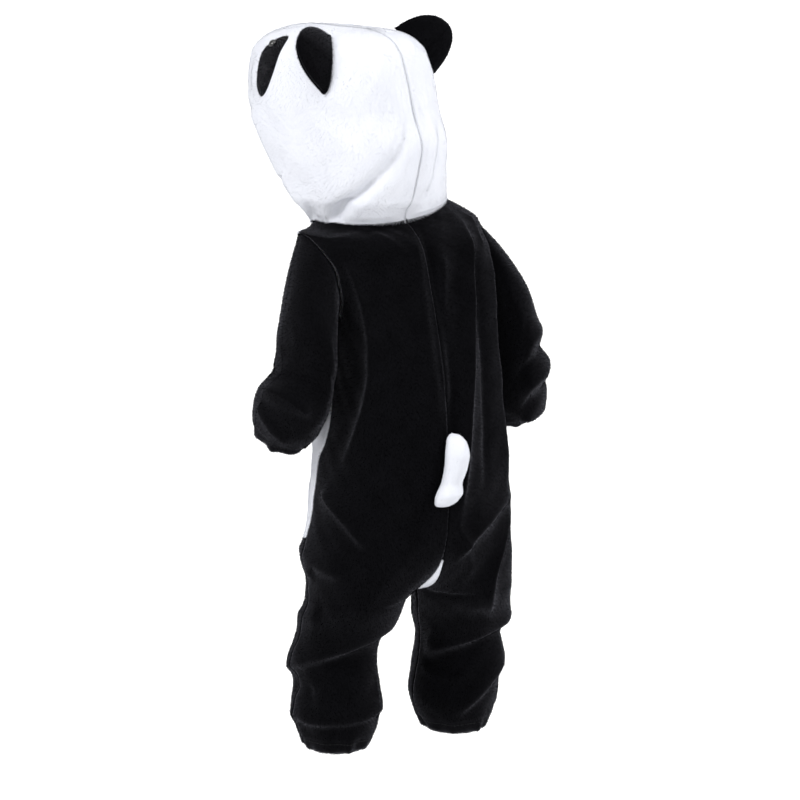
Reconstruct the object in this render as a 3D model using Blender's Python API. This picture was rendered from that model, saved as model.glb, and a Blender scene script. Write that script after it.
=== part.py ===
"""A toddler's panda romper in plush: a hooded onesie, worn, hollow and open at face, cuffs and hems.

Every cloth piece is a wall cut from one of three surfaces: the body with its legs, the sleeves and
the hood.  All sizes are millimetres until a mesh is made.  +Z is up, the front faces -Y and +X is
the wearer's left.  The origin is the middle of the neck, where the shoulders carry the garment.
"""
import math

import bmesh
import bpy
import numpy as np

MM = 0.001
SEAM_GAP = 0.3          # clearance between two pieces that are sewn together
PLUSH = 2.6             # plush cloth with its pile
APPLIQUE = 2.0          # the cut patches of the face
ZIP_TAPE = 1.2
CLOTH_PER_U = 315.0     # cloth round one half of the body, or round one leg, for u from 0 to 1
SLOPE_STEP = 4.0        # how far apart two points are when the slope of the cloth is read

# The body.  "down" is the length down the side from the neck; u runs round one half of the body,
# from 0 at the centre front over 0.5 at the side to 1 at the centre back, and once round a leg.
NECK_FRONT_DROP = 26.0
NECK_SIDE_RISE = 4.0
NECK_LEAN = 0.10           # the neck sits lower on the left, where the head turns
NECK_LEAN_FROM = -55.0
NECK_FADE = 60.0
NECK_DROP_FADE = 120.0
CROTCH_START = 365.0
FORK = 448.0
GUSSET_TOP = 398.0
GUSSET_HALF_WIDTH = 9.0
GUSSET_END = 1.0
GUSSET_FADE = 8.0
GROIN_AT_SIDE = 383.0
GROIN_AT_CENTRE = 422.0
GROIN_BLEND = 60.0
HEM = 629.0
KNEE_TOP = 480.0
KNEE_BOTTOM = 552.0
BODY_COLUMNS = "down z half_width back_depth front_depth centre_x centre_y square"
BODY_ROWS = [
    (0, 6, 75, 64, 55, 12, -54, 2.0),
    (20, -2, 88, 65, 60, 7, -50, 2.0),
    (42, -13, 104, 68, 66, 5, -44, 2.1),
    (66, -31, 104, 72, 71.5, 2, -38, 2.3),
    (98, -60, 96, 75, 75, -1, -34, 2.6),
    (138, -100, 89, 80, 80, -2, -25, 2.9),
    (188, -150, 87, 87, 87, -2, -17, 2.9),
    (228, -190, 91, 92, 92, -1, -12, 2.6),
    (268, -230, 98, 95, 95, 0, -8, 2.4),
    (308, -270, 105, 96, 96, 0, -6, 2.2),
    (348, -310, 110, 96, 96, 1, -5, 2.1),
    (388, -350, 114, 95, 95, 3, -6, 2.0),
    (448, -410, 114, 88, 88, 3, -6, 2.0),
]
LEG_COLUMNS = "down z inner half_width centre_y half_depth"
LEG_ROWS = [
    (365, -327, 0, 58, -4, 84),
    (448, -410, 9, 54, -2, 62),
    (488, -450, 20, 50, -18, 54),
    (518, -480, 28, 48, -29, 50),
    (558, -520, 24, 50, -32, 51),
    (582, -544, 21, 51, -33, 52),
    (610, -571, 28, 45, -32, 46),
    (629, -590, 38, 36, -31, 37),
]
SIDE_SEAM_COLUMNS = "down u"
SIDE_SEAM_ROWS = [(0, 0.37), (44, 0.47), (140, 0.50), (268, 0.50), (300, 0.458), (390, 0.455), (470, 0.48),
                  (640, 0.50)]

# The armhole is an oval on the body's side, and the sleeve starts from its edge.
ARMHOLE_TOP = 44.0
ARMHOLE_BOTTOM = 152.0
ARMHOLE_U_BACK = 0.135
ARMHOLE_U_FRONT = 0.135
ARMHOLE_ROWS = 9
SLEEVE_COLUMNS = "along x y z outer inner half_depth"
SLEEVE_ROWS = [
    (0, 88, -26, -50, 30, 28, 42),
    (30, 102, -18, -78, 37, 25, 45),
    (60, 112, -8, -107, 36, 20, 46),
    (98, 118, -3, -145, 37, 24, 47),
    (130, 126, -8, -175, 41, 31, 48),
    (160, 134, -20, -201, 41, 34, 46),
    (184, 136, -34, -221, 36, 31, 38),
    (197, 136, -41, -232, 31, 28, 33),
]
SLEEVE_LENGTH = 197.0
UNDERARM_START = 66.0
CAP_BLEND = 55.0
EDGE_BLEND = 12.0
BEND_REACH = 20.0         # the sleeve turns its direction over this length either way

# Hems and cuffs are gathered on elastic: each second column of the cloth's mesh puckers outwards.
GATHER_HEIGHT = 1.6
GATHER_REACH = 16.0

# The hood.  "up" is the height above the neck; u is again 0 at the front and 1 at the centre back.
HOOD_COLUMNS = "up z half_width back_depth front_depth centre_x centre_y turn square"
HOOD_ROWS = [
    (0, 0, 78, 66, 64, 14, -54, 0, 2.0),
    (18, 18, 84, 80, 88, 18, -60, 7, 2.0),
    (48, 50, 87, 96, 102, 23, -72, 14, 2.1),
    (80, 84, 88, 106, 108, 28, -84, 19, 2.2),
    (112, 116, 88, 104, 110, 33, -94, 20, 2.3),
    (143, 145, 86, 100, 106, 35, -96, 20, 2.4),
    (173, 171, 79, 92, 98, 36, -97, 20, 2.4),
    (196, 187, 64, 77, 83, 36, -97, 20, 2.3),
    (212, 194, 38, 60, 64, 36, -97, 20, 2.1),
    (230, 197, 0, 44, 48, 36, -97, 20, 2.0),
]
CROWN = 230.0
BROW = 112.0
FACE_OPENING_U = 0.235
HOOD_BASE_BLEND = 20.0

# What is sewn on the hood: place as (u, up), half sizes across and along, and slant in degrees.
PATCH_STEPS = 20
PATCH_LIFT = 0.9         # clears the hood where its cloth is most curved
PATCH_TAPER = 0.12
EYE_PATCH_AT = (0.415, 160.0)
EYE_PATCH_RADII = (15.5, 39.5)
EYE_PATCH_SLANT = -8.0
NOSE_AT = (0.0, 136.0)
NOSE_RADII = (11.0, 7.0)
EAR_AT = (0.645, 167.0)
EAR_RADII = (14.0, 37.5)
EAR_SLANT = 0.0
EAR_OUT = (0.78, 0.62, 0.08)
EAR_HEIGHT = 50.0
EAR_ROWS = 6

# The tail, row by row down the centre back: where, shift aside, half width and half thickness.
TAIL_STEPS = 16
TAIL_CLEARANCE = 0.5
TAIL_ROWS = [
    (256, -4, 0, 0),
    (258, -4, 7, 5),
    (266, -4, 12, 10),
    (279, -3, 14, 13),
    (294, 0, 13, 13),
    (306, 4, 12, 12),
    (318, 8, 15, 14),
    (326, 11, 13, 12),
    (332, 12, 8, 7),
    (334, 12, 0, 0),
]
ZIP_HALF_WIDTH = 7.0

# The zip's slider and pull, as breaks across, along and out; a small arch on the slider holds the pull.
SLIDER_AT = 46.0
SLIDER_ACROSS = (-4.6, -0.8, 0.8, 4.6)
SLIDER_ALONG = (-6.5, -3.6, -2.6, 2.6, 3.6, 6.5)
SLIDER_OUT = (0.0, 2.2, 4.6, 5.8)
SLIDER_TAPER = 0.28
PULL_ACROSS = (-2.9, -1.5, 1.5, 2.9)
PULL_ALONG = (-0.6, 0.6, 5.4, 8.0, 14.0, 20.5, 22.0)
PULL_OUT = (-0.6, 0.6)
METAL_BEVEL = 0.28

SIDES = ((1, "left"), (-1, "right"))
CROTCH_ROWS = 5
BACK_STEPS = 12
FRONT_STEPS = 7
HOOD_ROWS_BELOW = 8
HOOD_ROWS_ABOVE = 8

BLACK = (0.012, 0.012, 0.015)
WHITE = (0.86, 0.87, 0.89)
METAL = (0.30, 0.30, 0.32)

# Folds that show from a step away, as soft ridges (+) or troughs (-) in the cloth's outer side.
# A "step" fold bulges above its line and tucks in below it, as cloth does where it sags on itself.
FOLD_COLUMNS = "side u0 down0 u1 down1 bow width ridge step"
BODY_FOLDS = [
    (0, 1.00, 30, 1.00, 330, 0, 9, 3, 0),
    (1, 0.66, 66, 0.60, 300, -26, 11, 7, 0),
    (-1, 0.89, 70, 0.98, 240, -6, 9, 4, 0),
    (-1, 0.66, 12, 0.95, 365, -12, 10, 8, 0),
    (-1, 0.66, 75, 0.66, 350, -10, 14, 8, 0),
    (-1, 0.63, 350, 0.70, 490, -6, 14, 7, 0),
    (-1, 0.64, 342, 0.95, 405, -12, 10, 5, 2),
    (1, 0.50, 328, 0.72, 382, -5, 9, 5, 2),
    (1, 0.36, 400, 0.64, 416, 0, 12, 5, 2),
    (1, 0.36, 552, 0.95, 474, 0, 13, 1, 6),
    (-1, 0.50, 490, 0.97, 538, -4, 13, 3, 6),
    (1, 0.50, 592, 0.95, 584, 3, 10, 0, 3),
    (-1, 0.50, 528, 0.82, 606, 0, 10, 2, 3),
    (1, 0.10, 480, 0.36, 520, 4, 12, 2, 4),
    (-1, 0.08, 506, 0.40, 484, 4, 12, 2, 4),
    (1, 0.24, 170, 0.32, 300, 8, 14, 4, 0),
    (-1, 0.22, 190, 0.30, 330, -8, 14, 4, 0),
]
SLEEVE_FOLDS = [
    (1, -0.20, 130, 0.30, 94, 0, 13, -8, 0),
    (1, -0.05, 148, 0.24, 126, 3, 9, 3, 2),
    (1, 0.62, 128, 0.86, 140, 0, 13, -2, 2),
    (-1, -0.08, 112, 0.36, 94, 0, 10, -5, 0),
    (-1, -0.10, 150, 0.30, 140, 0, 10, -5, 0),
    (-1, 0.62, 128, 0.86, 140, 0, 13, -2, 2),
]
HOOD_FOLDS = [
    (1, 0.60, 4, 0.97, 110, -17, 10, -7, 0),
    (0, 0.985, 10, 0.985, 180, 0, 9, -3, 0),
    (-1, 0.95, 20, 0.95, 130, 0, 9, 4, 0),
    (-1, 0.92, 12, 0.88, 96, 0, 9, -4, 0),
    (-1, 0.55, 6, 0.74, 70, -8, 11, -4, 0),
]


def clear_scene():
    for old in list(bpy.data.objects):
        bpy.data.objects.remove(old, do_unlink=True)


class Table:
    """A size chart with named columns, read between its rows along a smooth monotone curve."""

    def __init__(self, columns, rows):
        self.columns = columns.split()[1:]
        chart = np.array(rows, float)
        self.key, self.values = chart[:, 0], chart[:, 1:]
        step = np.diff(self.key)[:, None]
        secant = np.diff(self.values, axis=0) / step
        before, after = secant[:-1], secant[1:]
        agree = before * after > 0
        mean = 2 * before * after / np.where(agree, before + after, 1.0)
        inner = np.where(agree, mean, 0.0)
        self.slope = np.vstack([secant[:1], inner, secant[-1:]])

    def at(self, key, *names):
        """The named columns at key, each an array of key's shape."""
        key = np.clip(key, self.key[0], self.key[-1])
        row = np.clip(np.searchsorted(self.key, key, side="right") - 1, 0, len(self.key) - 2)
        step = self.key[row + 1] - self.key[row]
        t = (key - self.key[row]) / step
        found = []
        for name in names:
            column = self.columns.index(name)
            start, end = self.values[row, column], self.values[row + 1, column]
            slope_0, slope_1 = self.slope[row, column] * step, self.slope[row + 1, column] * step
            found.append((2 * t**3 - 3 * t**2 + 1) * start + (t**3 - 2 * t**2 + t) * slope_0
                         + (3 * t**2 - 2 * t**3) * end + (t**3 - t**2) * slope_1)
        return found[0] if len(found) == 1 else found


BODY = Table(BODY_COLUMNS, BODY_ROWS)
LEG = Table(LEG_COLUMNS, LEG_ROWS)
SIDE_SEAM = Table(SIDE_SEAM_COLUMNS, SIDE_SEAM_ROWS)
SLEEVE = Table(SLEEVE_COLUMNS, SLEEVE_ROWS)
HOOD = Table(HOOD_COLUMNS, HOOD_ROWS)


def smooth(t):
    t = np.clip(t, 0.0, 1.0)
    return t * t * (3 - 2 * t)


def unit(vectors):
    length = np.linalg.norm(vectors, axis=-1, keepdims=True)
    return vectors / np.maximum(length, 1e-9)


def stack(x, y, z):
    return np.stack(np.broadcast_arrays(x, y, z), axis=-1)


def oval(angle, half_width, half_depth, square):
    """Radius of a rounded-square oval at an angle from the front."""
    side = np.abs(np.sin(angle)) / half_width
    front = np.abs(np.cos(angle)) / half_depth
    return (side**square + front**square) ** (-1 / square)


def fold_height(folds, side, across, along):
    """Height of all folds at points of the cloth laid flat, both coordinates in millimetres."""
    height = np.zeros(np.broadcast(across, along).shape)
    for fold_side, u0, down0, u1, down1, bow, width, ridge, step in folds:
        if fold_side not in (0, side):
            continue
        start = np.array([u0 * CLOTH_PER_U, down0])
        run = np.array([u1 * CLOTH_PER_U, down1]) - start
        length = np.hypot(*run)
        direction = run / length
        offset = across - start[0], along - start[1]
        t = (offset[0] * direction[0] + offset[1] * direction[1]) / length
        near = np.clip(t, 0, 1)
        beside = offset[1] * direction[0] - offset[0] * direction[1] - bow * 4 * near * (1 - near)
        beyond = (t - near) * length
        far = (beside**2 + beyond**2) / width**2
        fade = smooth(np.minimum(near, 1 - near) * 5 + 0.15)
        height += fade * np.exp(-far / 2) * (ridge - step * beside / width * 1.65)
    return height


def gathers(column, from_edge):
    """Puckers of the cloth at an edge that is gathered on elastic."""
    return GATHER_HEIGHT * np.cos(math.pi * column) * np.exp(-(from_edge / GATHER_REACH) ** 2)


def leg_column(u):
    """The number of the leg's column of cloth at u, counted from the inseam round the front."""
    seam = SIDE_SEAM.at(np.full_like(u, HEM), "u")
    front = FRONT_STEPS + 1
    return np.where(u < seam, u / seam * front, front + (u - seam) / (1 - seam) * BACK_STEPS)


def body_shape(side, u, down):
    """The body without folds: a half oval above the fork that turns into the ring of one leg."""
    z, width, back, front, centre_x, centre_y, square = BODY.at(
        down, "z", "half_width", "back_depth", "front_depth", "centre_x", "centre_y", "square")
    angle = math.pi * u
    radius = oval(angle, width, np.where(np.cos(angle) > 0, front, back), square)
    neck = 1 - smooth(down / NECK_FADE)
    tilt = NECK_SIDE_RISE * np.sin(angle) ** 2
    tilt = tilt - NECK_LEAN * (centre_x + side * radius * np.sin(angle) - NECK_LEAN_FROM)
    drop = NECK_FRONT_DROP * np.clip(np.cos(angle), 0, 1) ** 1.2 * (1 - smooth(down / NECK_DROP_FADE))
    slit_top = np.where(np.cos(angle) > 0, GROIN_AT_CENTRE, GUSSET_TOP)
    slit = GUSSET_END * smooth((down - slit_top) / GUSSET_FADE + 1)
    slit = slit + (GUSSET_HALF_WIDTH - GUSSET_END) * smooth((down - slit_top) / (FORK - slit_top))
    torso_x = radius * np.sin(angle) + slit * np.cos(angle) ** 6
    torso_y = centre_y - radius * np.cos(angle)
    leg_z, inner, leg_width, leg_y, leg_depth = LEG.at(
        down, "z", "inner", "half_width", "centre_y", "half_depth")
    turn = 2 * math.pi * u
    leg_x = inner + leg_width * (1 - np.cos(turn))
    leg_back = leg_y - leg_depth * np.sin(turn)
    t = np.clip((down - CROTCH_START) / (FORK - CROTCH_START), 0, 1)
    leg = smooth(t) + (1 - np.sqrt(1 - t * t) - smooth(t)) * np.cos(angle) ** 2
    height = np.where(down < FORK, z, leg_z) + neck * tilt - drop
    return stack(centre_x + side * (torso_x + (leg_x - torso_x) * leg),
                 torso_y + (leg_back - torso_y) * leg, height)


def slopes(surface, u, down, per_u):
    """The cloth's outward direction, from points a few millimetres apart each way."""
    step_u, step_down = SLOPE_STEP / per_u, SLOPE_STEP
    across = surface(u + step_u, down) - surface(u - step_u, down)
    along = surface(u, down + step_down) - surface(u, down - step_down)
    return unit(np.cross(across, along))


def body_outward(side, u, down, shape):
    """Outward direction on the body; on the centre seams it stays in the middle plane."""
    outward = -slopes(shape, u, down, CLOTH_PER_U) * side
    on_seam = ((u < 1e-6) | (u > 1 - 1e-6)) & (down <= FORK + 1e-6)
    at_fork = on_seam & (down > FORK - 1e-6)
    flat = outward * np.array([0.0, 1.0, 1.0])
    outward = np.where(on_seam[..., None], unit(flat), outward)
    return np.where(at_fork[..., None], np.array([0.0, 0.0, -1.0]), outward)


def body_surface(side, u, down):
    """The body's outer side, with its folds."""
    u, down = np.broadcast_arrays(np.asarray(u, float), np.asarray(down, float))

    def shape(u, down):
        return body_shape(side, u, down)

    height = fold_height(BODY_FOLDS, side, u * CLOTH_PER_U, down) + gathers(leg_column(u), HEM - down)
    return shape(u, down) + body_outward(side, u, down, shape) * height[..., None]


def body_wall(side, u, down, thickness=PLUSH, lift=0.0):
    """Outer and inner points of a piece of the body's wall."""
    u, down = np.broadcast_arrays(np.asarray(u, float), np.asarray(down, float))

    def surface(u, down):
        return body_surface(side, u, down)

    outward = body_outward(side, u, down, surface)
    outer = surface(u, down) + outward * lift
    return outer, outer - outward * thickness


def armhole_u(down, reach):
    """How far the armhole's edge lies from its middle line, in u."""
    middle, half = (ARMHOLE_TOP + ARMHOLE_BOTTOM) / 2, (ARMHOLE_BOTTOM - ARMHOLE_TOP) / 2
    return reach * np.sqrt(np.clip(1 - ((down - middle) / half) ** 2, 0, 1))


def sleeve_shape(side, turn, along):
    """The sleeve without folds; turn is 0 on the outer side, pi/2 at the back, pi under the arm."""
    middle, half = (ARMHOLE_TOP + ARMHOLE_BOTTOM) / 2, (ARMHOLE_BOTTOM - ARMHOLE_TOP) / 2
    down = middle - half * np.cos(turn)
    reach = np.where(np.sin(turn) > 0, ARMHOLE_U_BACK, ARMHOLE_U_FRONT)
    edge = body_surface(side, SIDE_SEAM.at(down, "u") + reach * np.sin(turn), down)
    start = UNDERARM_START * (1 - np.cos(turn)) / 2
    place = start + along * (SLEEVE_LENGTH - start) / SLEEVE_LENGTH
    x, y, z, outer, inner, depth = SLEEVE.at(place, "x", "y", "z", "outer", "inner", "half_depth")
    ahead, behind = (SLEEVE.at(np.clip(place + s, 0, SLEEVE_LENGTH), "x", "y", "z") for s in (BEND_REACH, -BEND_REACH))
    run = unit(stack(*ahead) - stack(*behind))
    out = unit(np.array([1.0, 0.0, 0.0]) - run[..., :1] * run)
    back = np.cross(out, run)
    width = np.where(np.cos(turn) > 0, outer, inner)
    tube = stack(x, y, z) + out * (width * np.cos(turn))[..., None] + back * (depth * np.sin(turn))[..., None]
    tube = tube * np.array([side, 1.0, 1.0])
    joined = smooth(along / CAP_BLEND)[..., None]
    return edge + (tube - edge) * joined


def sleeve_surface(side, turn, along):
    turn, along = np.broadcast_arrays(np.asarray(turn, float), np.asarray(along, float))
    per_turn = 270.0 / (2 * math.pi)

    def shape(turn, along):
        return sleeve_shape(side, turn, np.clip(along, 0, SLEEVE_LENGTH))

    across = turn / (2 * math.pi) * CLOTH_PER_U
    height = sum(fold_height(SLEEVE_FOLDS, side, across - whole * CLOTH_PER_U, along) for whole in (0, 1))
    height = height * smooth(along / CAP_BLEND)
    height = height + gathers(turn / math.pi * ARMHOLE_ROWS, SLEEVE_LENGTH - along)
    return shape(turn, along) - slopes(shape, turn, along, per_turn) * (side * height)[..., None]


def sleeve_wall(side, turn, along):
    turn, along = np.broadcast_arrays(np.asarray(turn, float), np.asarray(along, float))
    per_turn = 270.0 / (2 * math.pi)

    def surface(turn, along):
        return sleeve_surface(side, turn, along)

    outward = -slopes(surface, turn, along, per_turn) * side
    outer = surface(turn, along)
    middle, half = (ARMHOLE_TOP + ARMHOLE_BOTTOM) / 2, (ARMHOLE_BOTTOM - ARMHOLE_TOP) / 2
    down = middle - half * np.cos(turn)
    reach = np.where(np.sin(turn) > 0, ARMHOLE_U_BACK, ARMHOLE_U_FRONT)
    edge_outer, edge_inner = body_wall(side, SIDE_SEAM.at(down, "u") + reach * np.sin(turn), down)
    under_arm = (1 - np.cos(turn)) / 2
    at_edge = unit(unit(edge_outer - edge_inner) + outward + under_arm[..., None] * np.array([0, 0, -1.5]))
    near_edge = (1 - smooth(along / EDGE_BLEND))[..., None]
    outward = unit(outward + (at_edge - outward) * near_edge)
    return outer, outer - outward * PLUSH


def hood_shape(side, u, up):
    """The hood without folds: ovals stacked over the neck's own ring."""
    z, width, back, front, centre_x, centre_y, turned, square = HOOD.at(
        up, "z", "half_width", "back_depth", "front_depth", "centre_x", "centre_y", "turn", "square")
    angle = math.pi * u
    depth = np.where(np.cos(angle) > 0, front, back)
    lateral = side * width * np.abs(np.sin(angle)) ** (2 / square) * np.sign(np.sin(angle))
    forward = depth * np.abs(np.cos(angle)) ** (2 / square) * np.sign(np.cos(angle))
    turned = np.radians(turned)
    x = centre_x + lateral * np.cos(turned) + forward * np.sin(turned)
    y = centre_y + lateral * np.sin(turned) - forward * np.cos(turned)
    head = stack(x, y, z)
    ring = body_shape(side, u, np.zeros_like(u))
    joined = smooth(up / HOOD_BASE_BLEND)[..., None]
    rise = stack(0 * z, 0 * z, z)
    return (ring + rise) + (head - ring - rise) * joined


def hood_outward(side, u, up, shape):
    """Outward direction on the hood; on the centre seam it stays in the head's middle plane."""
    low = np.clip(up, SLOPE_STEP, CROWN - SLOPE_STEP)
    outward = slopes(shape, u, low, 280.0) * side
    turned = np.radians(HOOD.at(up, "turn"))
    across = stack(np.cos(turned), np.sin(turned), 0 * turned)
    level = outward - across * np.sum(outward * across, axis=-1, keepdims=True)
    on_seam = (u < 1e-6) | (u > 1 - 1e-6)
    outward = np.where(on_seam[..., None], unit(level), outward)
    return np.where((up > CROWN - 1e-6)[..., None], np.array([0.0, 0.0, 1.0]), outward)


def hood_surface(side, u, up):
    u, up = np.broadcast_arrays(np.asarray(u, float), np.asarray(up, float))

    def shape(u, up):
        return hood_shape(side, u, up)

    height = fold_height(HOOD_FOLDS, side, u * CLOTH_PER_U, up)
    return shape(u, up) + hood_outward(side, u, up, shape) * height[..., None]


def hood_wall(side, u, up, thickness=PLUSH, lift=0.0):
    u, up = np.broadcast_arrays(np.asarray(u, float), np.asarray(up, float))

    def surface(u, up):
        return hood_surface(side, u, up)

    outward = hood_outward(side, u, up, surface)
    outer = surface(u, up) + outward * lift
    inner = outer - outward * thickness
    ring_outer, ring_inner = body_wall(side, u, np.zeros_like(u))
    at_neck = (up < 1e-6)[..., None]
    return outer, np.where(at_neck, ring_inner, inner)


def material(name, colour, roughness, metallic=0.0):
    made = bpy.data.materials.new(name)
    made.use_nodes = True
    shader = made.node_tree.nodes["Principled BSDF"]
    shader.inputs["Base Color"].default_value = (*colour, 1.0)
    shader.inputs["Roughness"].default_value = roughness
    shader.inputs["Metallic"].default_value = metallic
    return made


def finish(name, bm, colour, roughness=0.9, metallic=0.0, origin=(0, 0, 0)):
    """Turn a millimetre bmesh into a named object in metres, with its own material."""
    bmesh.ops.recalc_face_normals(bm, faces=bm.faces[:])
    if bm.calc_volume(signed=True) < 0:
        bmesh.ops.reverse_faces(bm, faces=bm.faces[:])
    centre = np.array(origin, float)
    for vertex in bm.verts:
        vertex.co = [(value - shift) * MM for value, shift in zip(vertex.co, centre)]
    mesh = bpy.data.meshes.new(name)
    bm.to_mesh(mesh)
    bm.free()
    mesh.shade_smooth()
    mesh.set_sharp_from_angle(angle=math.radians(50))
    mesh.materials.append(material(name, colour, roughness, metallic))
    made = bpy.data.objects.new(name, mesh)
    made.location = centre * MM
    bpy.context.collection.objects.link(made)
    return made


def draw_in(points, closed_round=False):
    """Pull a grid's edges in by half a seam gap, along the cloth."""
    drawn = points.copy()
    half = SEAM_GAP / 2
    drawn[0] += unit(points[1] - points[0]) * half
    drawn[-1] += unit(points[-2] - points[-1]) * half
    if not closed_round:
        drawn[:, 0] += unit(points[:, 1] - points[:, 0]) * half
        drawn[:, -1] += unit(points[:, -2] - points[:, -1]) * half
    return drawn


def grid_mesh(points):
    """A sheet of triangles through a grid of points; points that meet are merged."""
    rows, columns = points.shape[:2]
    bm = bmesh.new()
    bmesh.ops.create_grid(bm, x_segments=columns - 1, y_segments=rows - 1, size=1.0)
    number = bm.verts.layers.int.new("number")
    for index, vertex in enumerate(bm.verts):
        vertex[number] = index
        vertex.co = points[index // columns, index % columns]
    bmesh.ops.remove_doubles(bm, verts=bm.verts[:], dist=0.02)
    bmesh.ops.triangulate(bm, faces=bm.faces[:], quad_method="SHORT_EDGE")
    return bm, number


def wall_mesh(outer, inner, closed_round=False, sewn=True):
    """A closed wall from two matching grids: a sheet, doubled, with its rims joined."""
    if sewn:
        outer, inner = draw_in(outer, closed_round), draw_in(inner, closed_round)
    columns = outer.shape[1]
    bm, number = grid_mesh(outer)
    doubled = bmesh.ops.extrude_face_region(bm, geom=bm.faces[:], use_keep_orig=True)
    for vertex in doubled["geom"]:
        if isinstance(vertex, bmesh.types.BMVert):
            vertex.co = inner[vertex[number] // columns, vertex[number] % columns]
    bmesh.ops.triangulate(bm, faces=bm.faces[:])
    return bm


def rows_between(*stops):
    """Row positions from a chain of (start, number of steps) pairs, the last with 0 steps."""
    made = []
    for (start, steps), (end, _) in zip(stops[:-1], stops[1:]):
        made += list(np.linspace(start, end, steps, endpoint=False))
    return np.array(made + [stops[-1][0]])


def body_rows():
    """Rows down the side that back, front and leg share, dense at the armhole's ends and the fork."""
    middle, half = (ARMHOLE_TOP + ARMHOLE_BOTTOM) / 2, (ARMHOLE_BOTTOM - ARMHOLE_TOP) / 2
    shoulder = rows_between((0, 3), (ARMHOLE_TOP, 0))[:-1]
    armhole = middle - half * np.cos(np.linspace(0, math.pi, ARMHOLE_ROWS + 1))[:-1]
    trunk = rows_between((ARMHOLE_BOTTOM, 8), (GROIN_AT_SIDE - GROIN_BLEND, 3), (GROIN_AT_SIDE, 1),
                         (GUSSET_TOP, 0))[:-1]
    start = math.asin((GUSSET_TOP - CROTCH_START) / (FORK - CROTCH_START))
    crotch = CROTCH_START + (FORK - CROTCH_START) * np.sin(np.linspace(start, math.pi / 2, CROTCH_ROWS + 1))
    leg = rows_between((FORK, 2), (KNEE_TOP, 8), (KNEE_BOTTOM, 4), (HEM, 0))
    return np.concatenate([shoulder, armhole, trunk, crotch[:-1], leg])


def split_rows(rows, first, last):
    """The rows from first to last, both included."""
    return rows[(rows > first - 1e-6) & (rows < last + 1e-6)]


def zip_u(down):
    """Where the front's cloth ends beside the zip tape."""
    return ZIP_HALF_WIDTH / (math.pi * BODY.at(down, "front_depth"))


def side_u(down):
    return SIDE_SEAM.at(down, "u")


def groin_down(u):
    """The groin seam: how far down it lies, from the side to the centre front."""
    t = 1 - u / side_u(np.full_like(u, GROIN_AT_SIDE))
    return GROIN_AT_SIDE + (GROIN_AT_CENTRE - GROIN_AT_SIDE) * t


def front_columns(rows):
    """The u of the front's cloth for each row, from the zip to the side seam and the armhole."""
    start = zip_u(rows)
    end = side_u(rows) - armhole_u(rows, ARMHOLE_U_FRONT)
    return start[:, None] + (end - start)[:, None] * np.linspace(0, 1, FRONT_STEPS + 1)


def leg_columns(rows):
    """The u of the leg's front for each row, from the inseam to the side seam."""
    under_zip = np.hstack([np.zeros((len(rows), 1)), front_columns(rows)])
    even = side_u(rows)[:, None] * np.linspace(0, 1, FRONT_STEPS + 2)
    return under_zip + (even - under_zip) * smooth((rows - GROIN_AT_SIDE) / GROIN_BLEND)[:, None]


def make_backs(rows):
    """Left and right back, each cut in one from shoulder to hem and joined at the centre back."""
    edge = side_u(rows) + armhole_u(rows, ARMHOLE_U_BACK)
    u = edge[:, None] + (1 - edge)[:, None] * np.linspace(0, 1, BACK_STEPS + 1)
    for side, name in SIDES:
        outer, inner = body_wall(side, u, rows[:, None])
        finish("back_" + name, wall_mesh(outer, inner), BLACK)


def make_fronts(rows):
    """The white belly, left and right of the zip, cut off at the groin seam."""
    rows = split_rows(rows, 0, GROIN_AT_SIDE)
    u = front_columns(rows)
    lower = smooth((rows - GROIN_AT_SIDE) / GROIN_BLEND + 1)[:, None]
    down = rows[:, None] + (groin_down(u) - GROIN_AT_SIDE) * lower
    for side, name in SIDES:
        outer, inner = body_wall(side, u, down)
        finish("front_" + name, wall_mesh(outer, inner), WHITE)


def leg_down(rows, u):
    """Rows of the leg's front, which start along the groin seam and are level from the fork down."""
    level = smooth((rows - GROIN_AT_SIDE) / (FORK - GROIN_AT_SIDE))[:, None]
    return rows[:, None] + (groin_down(u) - GROIN_AT_SIDE) * (1 - level)


def make_leg_fronts(rows):
    """The black front of each leg, from the groin seam to the gathered hem."""
    rows = split_rows(rows, GROIN_AT_SIDE, HEM)
    u = leg_columns(rows)
    for side, name in SIDES:
        outer, inner = body_wall(side, u, leg_down(rows, u))
        finish("leg_front_" + name, wall_mesh(outer, inner), BLACK)


def make_gusset(rows):
    """The white gusset between the legs, from the centre back under the fork to the front."""
    behind = split_rows(rows, GUSSET_TOP, FORK)
    before = split_rows(rows, GROIN_AT_SIDE, FORK)
    before = leg_down(before, np.zeros((len(before), 1)))[:, 0]
    down = np.concatenate([behind, before[-2::-1]])
    u = np.concatenate([np.ones(len(behind)), np.zeros(len(before) - 1)])
    across = np.linspace(0, 1, 4)[None, :, None]
    edges = [body_wall(side, u, down) for side in (-1, 1)]
    outer, inner = (edges[0][k][:, None] + (edges[1][k] - edges[0][k])[:, None] * across for k in (0, 1))
    finish("crotch_gusset", wall_mesh(outer, inner), WHITE)


def make_sleeves():
    """Each sleeve is one tube, eased into its armhole and gathered on elastic at the cuff."""
    turn = np.linspace(0, 2 * math.pi, 2 * ARMHOLE_ROWS + 1)
    along = rows_between((0, 6), (60, 12), (SLEEVE_LENGTH, 0))
    for side, name in SIDES:
        outer, inner = sleeve_wall(side, turn[None, :], along[:, None])
        finish("sleeve_" + name, wall_mesh(outer, inner, closed_round=True), BLACK)


def hood_columns(rows, up):
    """The u of the hood for each row: the neck's own columns, drawn back to the face opening."""
    neck = rows[:1]
    back = side_u(neck) + (1 - side_u(neck)) * np.linspace(0, 1, BACK_STEPS + 1)
    neck_u = np.concatenate([[0.0], front_columns(neck)[0], back[1:]])
    rim = FACE_OPENING_U * np.sqrt(np.clip(1 - (2 * up / BROW - 1) ** 2, 0, 1))
    return rim[:, None] + (1 - rim)[:, None] * neck_u


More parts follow.
